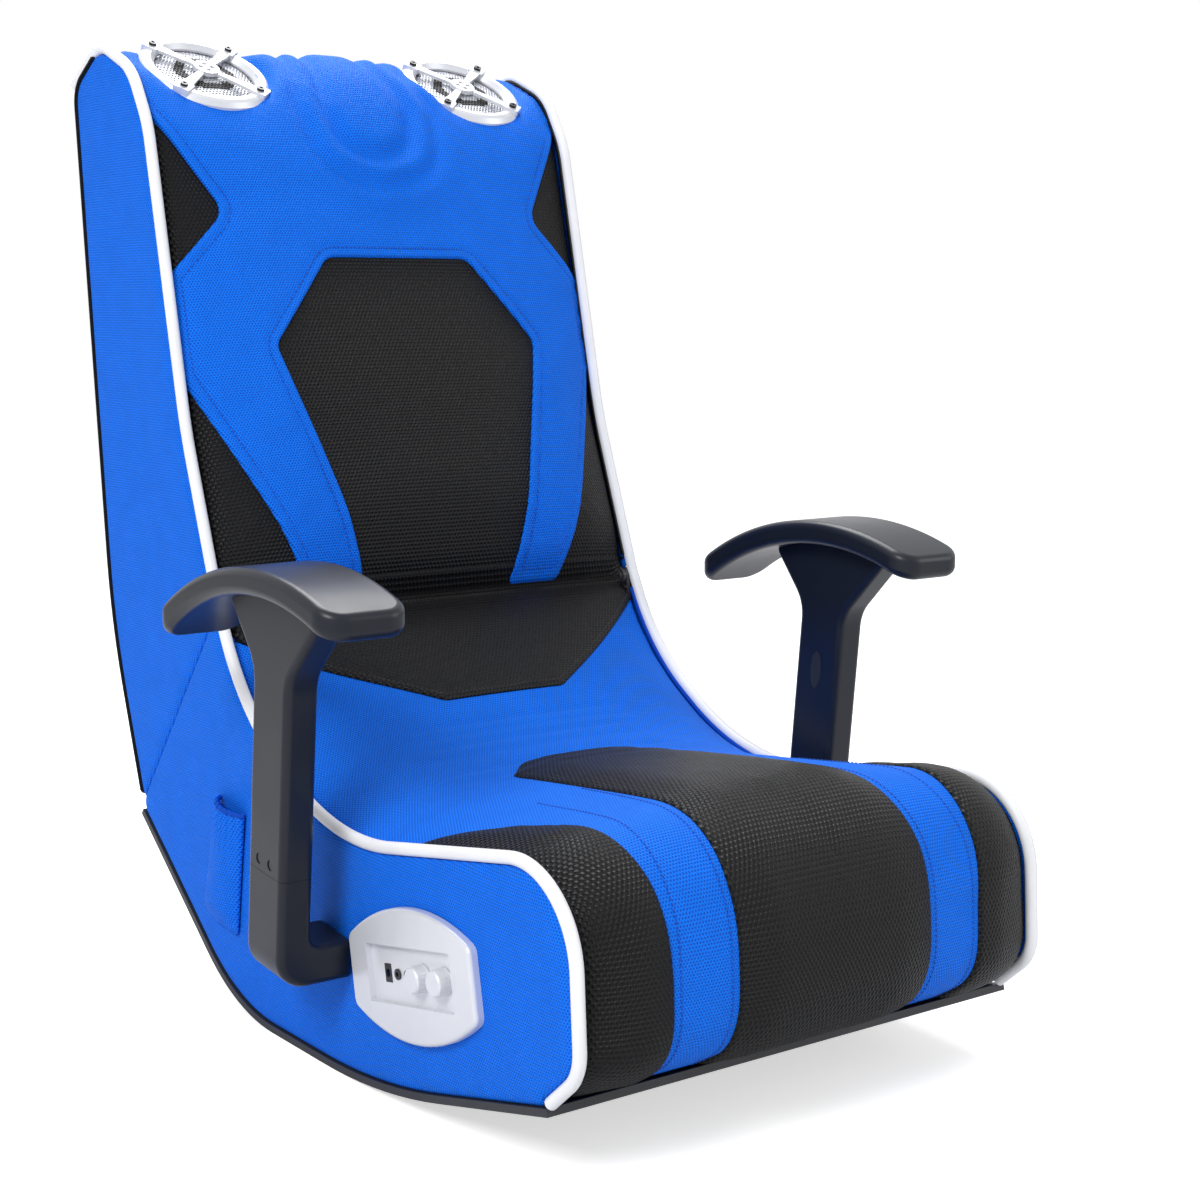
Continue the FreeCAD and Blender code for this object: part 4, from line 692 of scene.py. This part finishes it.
BLUE = (0.0, 0.19, 0.98)
BLUE_HOLE = (0.0, 0.06, 0.45)
BLACK = (0.0065, 0.0065, 0.0075)
BLACK_HOLE = (0.001, 0.001, 0.001)
MATERIALS = {
    "blue_mesh": spacer_mesh("blue_spacer_mesh", BLUE, BLUE_HOLE, 0.0026, 0.26, 0.0005, 0.7),
    "black_mesh": spacer_mesh("black_spacer_mesh", BLACK, BLACK_HOLE, 0.0038, 0.3, 0.0010, 0.42),
    "blue_thread": moulded("blue_thread", (0.0, 0.06, 0.42), 0.7),
    "black_thread": moulded("black_thread", (0.02, 0.02, 0.022), 0.6),
    "black_cloth": woven("black_lining", (0.012, 0.012, 0.013), 420, 0.0003, 0.8),
    "white_vinyl": moulded("white_welt", (0.83, 0.84, 0.87), 0.42, 260, 0.0002),
    "black_skid": moulded("black_skid", (0.014, 0.015, 0.02), 0.48),
    "plywood": plywood("plywood"),
    "black_steel": moulded("black_steel", (0.03, 0.03, 0.033), 0.4, 900, 0.00005),
    "zinc_steel": moulded("zinc_steel", (0.62, 0.63, 0.65), 0.32, 900, 0.00003, metal=1.0),
    "silver_plastic": moulded("silver_plastic", (0.68, 0.695, 0.74), 0.32, 1500, 0.00002, metal=0.25),
    "silver_mesh": moulded("silver_mesh", (0.6, 0.62, 0.68), 0.3, 1500, 0.00002, metal=0.55),
    "speaker_black": moulded("speaker_black", (0.012, 0.012, 0.014), 0.55),
    "charcoal_plastic": moulded("charcoal_plastic", (0.0085, 0.011, 0.018), 0.33, 1100, 0.00005,
                                 specular=0.3),
    "screw_black": moulded("screw_black", (0.03, 0.03, 0.035), 0.28, 900, 0.00002, metal=0.8),
    "socket_black": moulded("socket_black", (0.008, 0.008, 0.01), 0.4),
    "circuit_green": moulded("circuit_green", (0.02, 0.13, 0.05), 0.4),
    "clear_lens": moulded("clear_lens", (0.8, 0.82, 0.86), 0.12, coat=0.5),
}


def dress(piece, slot, body):
    """Give a new piece the material of a slot and attach it to its body."""
    piece.data.materials.clear()
    piece.data.materials.append(MATERIALS[slot])
    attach(piece, body)
    return piece


# Cushions.


def cushion(name, node, line):
    """The stuffed cover of a cushion, held still near its sides, its ends and its underside."""
    voxel, smoothing = 0.0055, 12
    free_x, free_depth, held_end = 0.2, 0.004, 0.03
    piece = remeshed(name, node, voxel, smoothing)
    start = vertices_of(piece)
    places = line.places_of(start[:, 1:])
    spots = np.array([line.at(p)[0] for p in places])
    outward = np.array([line.at(p)[1] for p in places])
    rise = ((start[:, 1:] - spots) * outward).sum(1)
    between = (places > held_end) & (places < line.length - held_end)
    inflate(piece, (np.abs(start[:, 0]) < free_x) & (rise > -free_depth) & between)
    return piece


def layout_of(piece, line):
    """Flat coordinates of a cushion's vertices."""
    start = vertices_of(piece)
    return np.column_stack([start[:, 0], line.places_of(start[:, 1:])])


def mirrored(half_mm):
    """A symmetric outline in metres from its left half in millimetres."""
    half = [(x * MM, s * MM, radius * MM) for x, s, radius in half_mm]
    return half + [(-x, s, radius) for x, s, radius in half[::-1]]


# Outlines on the cushions, as (x, distance along the cushion's line, corner radius). The seat's line
# starts at its foot and the back's at the crease.

EDGE_MM = 216.5
BACK_TOP_MM = BACK_LINE.length / MM - 2
OVERLAY_MM = [
    (EDGE_MM, BACK_TOP_MM, 0), (EDGE_MM, 441, 6), (162, 348, 16), (EDGE_MM, 293, 6),
    (EDGE_MM, 205, 6), (134, 1, 1), (78, 1, 1), (136, 226, 14), (74, 305, 16),
]
LUMBAR_MM = [(EDGE_MM, 730, 0), (EDGE_MM, 707, 0), (62, 590, 14)]
SEAT_CENTRE_MM = [(44, 479, 60), (80, 434, 5), (84, 330, 100), (86, 230, 80), (93, 150, 60),
                  (93, 3, 0)]
SEAT_OUTER_MM = [
    (EDGE_MM, 392, 1), (190, 335, 60), (170, 287, 60), (160, 222, 80), (152, 160, 60),
    (148, 100, 60), (148, 3, 0), (EDGE_MM, 3, 0),
]
OVERLAY_SEAM = 0.009
LUMBAR_SEAM = 0.006


def hem(distance):
    """A stitched groove beside the edge of the back overlay."""
    depth, width = 0.0014, 0.0028
    return -depth * np.exp(-((distance - OVERLAY_SEAM) / width) ** 2)


def puffed(amount, reach):
    """A swelling that grows away from the edge of a panel."""

    def shape(flat, distance):
        share = np.clip(distance / reach, 0, 1)
        return amount * np.sin(share * math.pi / 2)

    return shape


def edge_seam(name, loop, distance, place, height, slot, body):
    """A row of stitches at a distance inside a panel's edge."""
    path = []
    for spot in inset(loop, distance):
        point, out = place(*spot)
        path.append(point + out * height)
    dress(stitches(name, path, STITCH_PITCH * 0.7), slot, body)


back_cover = cushion("back_cover", "back_cushion", BACK_LINE)
seat_cover = cushion("seat_cover", "seat_cushion", SEAT_LINE)
for cover, line, slot, body, node in (
    (back_cover, BACK_LINE, "black_mesh", "back", "back_cushion"),
    (seat_cover, SEAT_LINE, "blue_mesh", "seat", "seat_cushion"),
):
    paint_layout(cover, layout_of(cover, line))
    dress(cover, slot, body)
    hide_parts(node)

on_back = on_cover(tree_of(back_cover), BACK_LINE, 0)
on_seat = on_cover(tree_of(seat_cover), SEAT_LINE, SEAT_LINE.length)


def channel_lines():
    """The two U-shaped channels of the headrest, in flat coordinates."""
    outer = [(47, 590, 0), (54, 520, 90), (72, 450, 50), (62, 392, 40), (0, 368, 90)]
    inner = [(27, 590, 0), (31, 515, 60), (44, 448, 40), (36, 412, 26), (0, 400, 50)]
    lines = []
    for half in (outer, inner):
        whole = half + [(-x, s, radius) for x, s, radius in half[-2::-1]]
        corners = [(x * MM, s * MM, radius * MM) for x, s, radius in whole]
        lines.append(rounded(corners, OUTLINE_STEP))
    return lines


CHANNELS = channel_lines()


def headrest_shape(flat, distance):
    """Hem, two channels and the pads beside them, above the start of the headrest."""
    channel_width, fading_width = 0.009, 0.024
    pad_height, outer_height = 0.0066, 0.0045
    headrest_start, headrest_ramp = 0.33, 0.03
    gap = np.minimum(*[line_distances(flat, line) for line in CHANNELS])
    swelling = 1 - np.exp(-(gap / channel_width) ** 2)
    within = inside(flat, CHANNELS[0])
    fading = np.where(within, pad_height, outer_height * np.exp(-(gap / fading_width) ** 2))
    top = np.clip((flat[:, 1] - headrest_start) / headrest_ramp, 0, 1)
    return hem(distance) + fading * swelling * top


def under_speaker(spot):
    """Whether a point lies in the opening under a speaker's ring."""
    for sign in (1, -1):
        gap = spot - SPEAKER_SPOT - Vector((sign * SPEAKER_X, 0, 0))
        if (gap - SPEAKER_UP * gap.dot(SPEAKER_UP)).length < SPEAKER_OPENING:
            return True
    return False


def seat_pad(name, loop, swelling, reach):
    """A raised black panel on the seat cushion."""
    pad = panel(name, loop, on_seat, 0.002, 0.004, shape=puffed(swelling, reach))
    dress(pad, "black_mesh", "seat")


def stripe_stitches(name, sign, offset):
    """A row of stitches along the blue stripe beside the centre panel, nearer the middle at the rear."""
    first, last, step, straight, lean = 6, 330, 3, 150, 10 / 150
    path = []
    for s in range(first, last, step):
        point, out = on_seat(sign * (offset - lean * max(0, s - straight)) * MM, s * MM)
        path.append(point + out * 0.0003)
    dress(stitches(name, path, 0.003), "blue_thread", "seat")


overlay_loop = rounded(mirrored(OVERLAY_MM), OUTLINE_STEP, closed=True)
overlay = panel("back_overlay", overlay_loop, on_back, 0.0034, 0.0035, spacing=0.0045,
                shape=headrest_shape, skip=under_speaker)
dress(overlay, "blue_mesh", "back")
edge_seam("back_overlay_stitches", overlay_loop, OVERLAY_SEAM, on_back, 0.0025, "blue_thread", "back")

lumbar_loop = rounded(mirrored(LUMBAR_MM), OUTLINE_STEP, closed=True)
seat_pad("lumbar_panel", lumbar_loop, 0.004, 0.05)
edge_seam("lumbar_stitches", lumbar_loop, LUMBAR_SEAM, on_seat, 0.0026, "black_thread", "seat")

centre_loop = rounded(mirrored(SEAT_CENTRE_MM), OUTLINE_STEP, closed=True)
seat_pad("seat_centre_panel", centre_loop, 0.005, 0.04)
for side, sign in SIDES:
    outline = [(sign * x * MM, s * MM, radius * MM) for x, s, radius in SEAT_OUTER_MM]
    seat_pad("seat_outer_panel_" + side, rounded(outline, OUTLINE_STEP, closed=True), 0.004, 0.03)
    for number, offset in enumerate((99, 142)):
        stripe_stitches("stripe_stitches_%s_%d" % (side, number), sign, offset)


# Sides, rear, pipings and the fold.


def side_loop(node, sign):
    """The outline of a side board's outer face in (y, z)."""
    mesh = NODES[node].data
    outer_x = max(sign * v.co.x for v in mesh.vertices)
    corners = {}
    for vertex in mesh.vertices:
        if abs(sign * vertex.co.x - outer_x) < 1e-4:
            corners[vertex.index] = (round(vertex.co.y, 5), round(vertex.co.z, 5))
    edges = {}
    for face in mesh.polygons:
        if all(i in corners for i in face.vertices):
            spots = [corners[i] for i in face.vertices]
            for pair in zip(spots, spots[1:] + spots[:1]):
                edges[pair] = True
    rim = {a: b for a, b in edges if (b, a) not in edges and a != b}
    best = []
    while rim:
        start, following = rim.popitem()
        loop = [start]
        while following != start and following in rim:
            loop.append(following)
            following = rim.pop(following)
        if len(loop) > 2:
            width = max(p[0] for p in loop) - min(p[0] for p in loop)
            if not best or width > max(p[0] for p in best) - min(p[0] for p in best):
                best = loop
    return divided([Vector(p) for p in best], OUTLINE_STEP, closed=True)


for owner in ("seat", "back"):
    for side, sign in SIDES:
        node = owner + "_side_panel_" + side
        cover = panel(owner + "_side_" + side, side_loop(node, sign), on_wall(sign * SIDE_X, sign),
                      0.0035, 0.01, depth=0.0012, spacing=0.007, shape=puffed(0.001, 0.03))
        dress(cover, "blue_mesh", owner)
        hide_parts(node)


REAR_X = 0.2248
REAR_TOP = 0.002
REAR_BOTTOM = REAR_LINE.length - 0.006
REAR_HEIGHT = 0.0045


def on_rear(u, v):
    """A point on the rear cover, as far inside its outer face as the panel is high."""
    (y, z), (out_y, out_z) = REAR_LINE.at(v)
    out = Vector((0, out_y, out_z))
    return Vector((u, y, z)) - out * REAR_HEIGHT, out


rear_corners = ((-REAR_X, REAR_TOP), (REAR_X, REAR_TOP), (REAR_X, REAR_BOTTOM), (-REAR_X, REAR_BOTTOM))
rear_loop = rounded([(u, v, 0.004) for u, v in rear_corners], 0.005, closed=True)
rear = panel("back_rear", rear_loop, on_rear, REAR_HEIGHT, 0.006, depth=0.0005, spacing=0.008,
             shape=puffed(0.002, 0.08))
dress(rear, "black_cloth", "back")
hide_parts("back_rear_cover")


def blend_over_fold(piece):
    """Bake a piece's transform into its mesh; the piece is not bent over the fold."""
    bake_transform(piece)


def piping(side, sign):
    """One white cord from the foot of the seat over the top of the back."""
    fold_radius_mm = 90
    corners = SEAT_LINE_MM[:-1] + [(*SEAT_LINE_MM[-1][:2], fold_radius_mm)] + BACK_LINE_MM[1:]
    path = rounded([(y * MM, z * MM, r * MM) for y, z, r in corners], OUTLINE_STEP)
    points = [(sign * PIPE_X, y, z) for y, z in path[1:]]
    cord = tube("piping_" + side, points, PIPE_RADIUS, 16)
    cord.data.materials.append(MATERIALS["white_vinyl"])
    blend_over_fold(cord)
    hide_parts("seat_piping_" + side, "back_piping_" + side)


def tuck(name, sign, line, reach, slot, body):
    """The cover's edge where it is tucked in beside the piping."""
    tuck_x, sunk, radius, step = 0.2168, 0.0036, 0.0031, 0.006
    points = []
    for place in np.arange(reach[0], reach[1], step):
        (y, z), (out_y, out_z) = line.at(place)
        points.append((sign * tuck_x, y - out_y * sunk, z - out_z * sunk))
    dress(tube(name, points, radius, 8), slot, body)


for side, sign in SIDES:
    piping(side, sign)
    tuck("back_tuck_" + side, sign, BACK_LINE, (0.016, BACK_LINE.length - 0.05), "black_mesh", "back")
    tuck("seat_tuck_" + side, sign, SEAT_LINE, (0.30, SEAT_LINE.length - 0.016), "blue_mesh", "seat")


def fold_strip():
    """The fabric across the fold, from the lumbar panel down into the crease and up the back."""
    columns, rows = 91, 19
    edge_x, sunk, overlap = 0.2225, 0.0006, 1.1
    shares = np.linspace(-1, 1, rows)
    vertices, faces, flat = [], [], []
    for column in range(columns):
        x = -edge_x + 2 * edge_x * column / (columns - 1)
        for share in shares:
            reach = abs(share) * CREASE_REACH * overlap
            if share < 0:
                spot, out = on_seat(x, SEAT_LINE.length - reach)
            else:
                spot, out = on_back(x, reach)
            vertices.append(spot - out * sunk)
            flat.append((x, share * CREASE_REACH))
    for column in range(columns - 1):
        for row in range(rows - 1):
            a = column * rows + row
            faces.append((a, a + 1, a + 1 + rows, a + rows))
    strip = mesh_from("fold_strip", vertices, faces)
    paint_layout(strip, np.array(flat))
    thick = strip.modifiers.new("thick", "SOLIDIFY")
    thick.thickness = 0.0015
    finished(strip)
    strip.data.materials.append(MATERIALS["black_mesh"])
    blend_over_fold(strip)


fold_strip()


def arm_recess(side, sign):
    """The oval mark on the inner face of an arm."""
    height, middle_x, face_x = 0.275, sign * 0.276, sign * 0.2622
    half_width, half_length, lean, count = 0.0065, 0.017, math.radians(6), 48
    post = tree_of(NODES["arm_post_" + side])
    front = post.ray_cast(Vector((middle_x, -0.4, height)), Vector((0, 1, 0)))[0]
    rear = post.ray_cast(Vector((middle_x, 0.3, height)), Vector((0, -1, 0)))[0]
    centre = Vector(((front.y + rear.y) / 2, height))
    loop = []
    for number in range(count):
        angle = math.tau * number / count
        across, along = half_width * math.cos(angle), half_length * math.sin(angle)
        loop.append(centre + Vector((across * math.cos(lean) - along * math.sin(lean),
                                     across * math.sin(lean) + along * math.cos(lean))))
    mark = panel("arm_recess_" + side, loop, on_wall(face_x, -sign), 0.0005, 0.0015, depth=0.0003,
                 spacing=0.003)
    dress(mark, "speaker_black", "seat")


for side, sign in SIDES:
    arm_recess(side, sign)

# Pocket on the right side, with its corners as (y, z): front and rear ones at the foot and mouth.

POCKET_FOOT_MM = [(101, 71), (161, 80)]
POCKET_MOUTH_MM = [(84, 180), (128, 188)]


def side_pocket():
    """A pouch with a gathered mouth, open at the top."""
    columns, rows = 41, 31
    wall_x, gap, bulge = 0.2255, 0.0008, 0.0105
    gather_height, gathers, gather_start = 0.0012, 7, 0.55
    foot = [Vector((y * MM, z * MM)) for y, z in POCKET_FOOT_MM]
    mouth = [Vector((y * MM, z * MM)) for y, z in POCKET_MOUTH_MM]
    vertices, faces, flat = [], [], []
    for row in range(rows):
        up = row / (rows - 1)
        for column in range(columns):
            across = column / (columns - 1)
            spot = foot[0].lerp(foot[1], across).lerp(mouth[0].lerp(mouth[1], across), up)
            arch = math.sin(math.pi * across) ** 0.6
            rise = gap + bulge * arch * min(1, (up * 6) ** 0.5)
            fading = max(0, (up - gather_start) / (1 - gather_start))
            gather = gather_height * math.sin(across * math.tau * gathers) * fading * arch
            vertices.append(Vector((-wall_x - rise - gather, spot.x, spot.y)))
            flat.append((spot.x, spot.y))
    for row in range(rows - 1):
        for column in range(columns - 1):
            a = row * columns + column
            faces.append((a, a + columns, a + columns + 1, a + 1))
    pouch = mesh_from("pocket_pouch", vertices, faces)
    paint_layout(pouch, np.array(flat))
    thick = pouch.modifiers.new("thick", "SOLIDIFY")
    thick.thickness = 0.0014
    thick.offset = 1
    finished(pouch)
    dress(pouch, "blue_mesh", "seat")
    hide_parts("side_pocket")
    hem_radius, hem_offset = 0.0022, Vector((0.0004, 0, 0.002))
    top_row = [vertex - hem_offset for vertex in vertices[-columns:]]
    dress(tube("pocket_hem", top_row, hem_radius, 8), "blue_mesh", "seat")


side_pocket()

# Speakers.

MESH_PITCH = 0.0034
MESH_HOLE = 0.00125
MESH_RIM = 0.0470
MESH_BASE = 0.0021
MESH_CROWN = 0.0046
MESH_MARGIN = 0.0016
MESH_ZONES = (("outer", 0.62, 1.1, "silver_mesh"), ("band", 0.42, 0.62, "speaker_black"),
              ("middle", 0.0, 0.42, "silver_mesh"))


def on_speaker(sign, across, along, up):
    """A point in a speaker's own frame."""
    centre = SPEAKER_SPOT + Vector((sign * SPEAKER_X, 0, 0))
    return centre + Vector((across, 0, 0)) + SPEAKER_ALONG * along + SPEAKER_UP * up


def dome_zone(side, sign, zone, low, high, slot):
    """The part of a domed, pierced sheet between two radii, given as shares of its rim."""
    vertices, faces = [], []
    index = {}

    def corner_at(across, along):
        label = (round(across, 6), round(along, 6))
        if label not in index:
            radius = min(1.0, math.hypot(across, along) / MESH_RIM)
            rise = MESH_BASE + MESH_CROWN * (1 - radius ** 2)
            index[label] = len(vertices)
            vertices.append(on_speaker(sign, across, along, rise))
        return index[label]

    def hexagon(across, along, radius):
        corners = []
        for corner in range(6):
            angle = math.radians(30 + 60 * corner)
            aside, ahead = radius * math.cos(angle), radius * math.sin(angle)
            corners.append(corner_at(across + aside, along + ahead))
        return corners

    rows = int(MESH_RIM / (MESH_PITCH * ROW_SHARE)) + 1
    for row in range(-rows, rows + 1):
        for column in range(-rows - 2, rows + 3):
            across = (column + 0.5 * (row % 2)) * MESH_PITCH
            along = row * MESH_PITCH * ROW_SHARE
            reach = math.hypot(across, along)
            if reach > MESH_RIM - MESH_MARGIN or not low * MESH_RIM <= reach < high * MESH_RIM:
                continue
            outer = hexagon(across, along, MESH_PITCH / math.sqrt(3))
            inner = hexagon(across, along, MESH_HOLE)
            for corner in range(6):
                following = (corner + 1) % 6
                faces.append((outer[corner], outer[following], inner[following], inner[corner]))
    dome = mesh_from("speaker_mesh_%s_%s" % (zone, side), vertices, faces)
    thick = dome.modifiers.new("thick", "SOLIDIFY")
    thick.thickness = 0.0007
    finished(dome)
    dress(dome, slot, "back")
    if zone == "outer":
        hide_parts("speaker_grille_" + side)


def speaker_backing(side, sign):
    """A flat black disc under the pierced sheet, with a pinhole in its middle."""
    inner, outer, height, thickness, count = 0.001, 0.0462, 0.0006, 0.001, 72
    vertices, faces = [], []
    for level in (height, height - thickness):
        for radius in (inner, outer):
            for number in range(count):
                angle = math.tau * number / count
                across, along = radius * math.cos(angle), radius * math.sin(angle)
                vertices.append(on_speaker(sign, across, along, level))
    for number in range(count):
        following = (number + 1) % count
        rings = [[ring * count + step for step in (number, following)] for ring in range(4)]
        faces.append((rings[0][0], rings[1][0], rings[1][1], rings[0][1]))
        faces.append((rings[2][0], rings[2][1], rings[3][1], rings[3][0]))
        faces.append((rings[1][0], rings[3][0], rings[3][1], rings[1][1]))
        faces.append((rings[0][0], rings[0][1], rings[2][1], rings[2][0]))
    disc = mesh_from("speaker_backing_" + side, vertices, faces)
    disc.data.polygons.foreach_set("use_smooth", [False] * len(disc.data.polygons))
    dress(disc, "speaker_black", "back")


for side, sign in SIDES:
    for zone in MESH_ZONES:
        dome_zone(side, sign, *zone)
    speaker_backing(side, sign)

# CAD pieces keep their shape and get a material and softened edges. The two lower panels at the rear are
# lined in black cloth; the hinge leaves and pins get black steel in place of their own finish, as
# painted shade in the crease.

BEVELS = {"speaker_ring": 0.0006, "control_bezel": 0.0006, "volume_knob": 0.0004,
          "bass_knob": 0.0004, "arm_bracket": 0.0008, "arm_post": 0.0008, "rocker_base": 0.0008}
SLOTS = {item["node"]: item["material_slot"] for item in frame["record"]["subparts"]}
FINISHES = {"seat_rear_panel": "black_cloth", "back_lower_panel": "black_cloth"}
for name, node in NODES.items():
    # The hinge leaves and pins (fold_ nodes) are blackened as painted shade in the crease.
    finish = "black_steel" if name.startswith("fold_") else FINISHES.get(name, SLOTS[name])
    node.data.materials.clear()
    node.data.materials.append(MATERIALS[finish])
    for start, width in BEVELS.items():
        if name.startswith(start):
            bevel = node.modifiers.new("soft_edges", "BEVEL")
            bevel.width = width
            bevel.segments = 2
            bevel.limit_method = "ANGLE"
            bevel.angle_limit = math.radians(35)
            bevel.harden_normals = False

# Floor, light and camera. A lamp is (name, place, size, power).

FLOOR_REACH = 30
FLOOR_GLOW = 0.6
WORLD_LIGHT = 0.44
LAMP_TARGET = Vector((0, 0, 0.4))
LAMPS = (("key", (-2.6, -1.4, 2.5), 1.2, 84),
         ("fill", (2.4, -2.2, 1.4), 1.6, 24),
         ("top", (0.5, 1.3, 2.8), 1.6, 74))
SENSOR_WIDTH_MM = 36
LENS_MM = 62.68
CAMERA_SPOT = (-1.0005, -1.4640, 0.6053)
CAMERA_LOOK = Vector((0.58827, 0.79612, -0.14188))


def aimed(holder, spot, look):
    """Put a lamp or camera in the scene at a spot, looking along a direction."""
    holder.location = spot
    holder.rotation_euler = look.to_track_quat("-Z", "Y").to_euler()
    bpy.context.scene.collection.objects.link(holder)


def floor_plane():
    """A pale floor that glows to the camera alone, so that it shows white."""
    mesh = bpy.data.meshes.new("floor")
    corners = [(x * FLOOR_REACH, y * FLOOR_REACH, 0) for x, y in ((-1, -1), (1, -1), (1, 1), (-1, 1))]
    mesh.from_pydata(corners, [], [(0, 1, 2, 3)])
    floor = bpy.data.objects.new("floor", mesh)
    bpy.context.scene.collection.objects.link(floor)
    material, tree, shader = new_material("floor")
    shader.inputs["Base Color"].default_value = (0.86, 0.86, 0.87, 1)
    shader.inputs["Roughness"].default_value = 0.7
    shader.inputs["Specular IOR Level"].default_value = 0.1
    shader.inputs["Emission Color"].default_value = (1, 1, 1, 1)
    camera_ray = tree.nodes.new("ShaderNodeLightPath").outputs["Is Camera Ray"]
    glow = calculate(tree, "MULTIPLY", camera_ray, FLOOR_GLOW)
    tree.links.new(glow, shader.inputs["Emission Strength"])
    mesh.materials.append(material)


def studio():
    """A world that is white where it is seen and dimmer where it lights, and the soft lamps."""
    world = bpy.data.worlds.new("studio")
    bpy.context.scene.world = world
    world.use_nodes = True
    tree = world.node_tree
    background = tree.nodes["Background"]
    path = tree.nodes.new("ShaderNodeLightPath")
    seen = path.outputs["Is Camera Ray"]
    for ray in ("Is Transmission Ray", "Is Glossy Ray"):
        seen = calculate(tree, "MAXIMUM", seen, path.outputs[ray])
    strength = calculate(tree, "MULTIPLY_ADD", seen, 1 - WORLD_LIGHT, WORLD_LIGHT)
    tree.links.new(strength, background.inputs["Strength"])
    background.inputs["Color"].default_value = (1, 1, 1, 1)
    for name, spot, size, power in LAMPS:
        lamp = bpy.data.lights.new(name, "AREA")
        lamp.size = size
        lamp.energy = power
        aimed(bpy.data.objects.new(name, lamp), spot, LAMP_TARGET - Vector(spot))


def camera():
    """The photograph's viewpoint."""
    lens = bpy.data.cameras.new("camera")
    lens.sensor_width = SENSOR_WIDTH_MM
    lens.lens = LENS_MM
    holder = bpy.data.objects.new("camera", lens)
    aimed(holder, CAMERA_SPOT, CAMERA_LOOK)
    bpy.context.scene.camera = holder


floor_plane()
studio()
camera()
bpy.context.scene.view_settings.view_transform = "Standard"
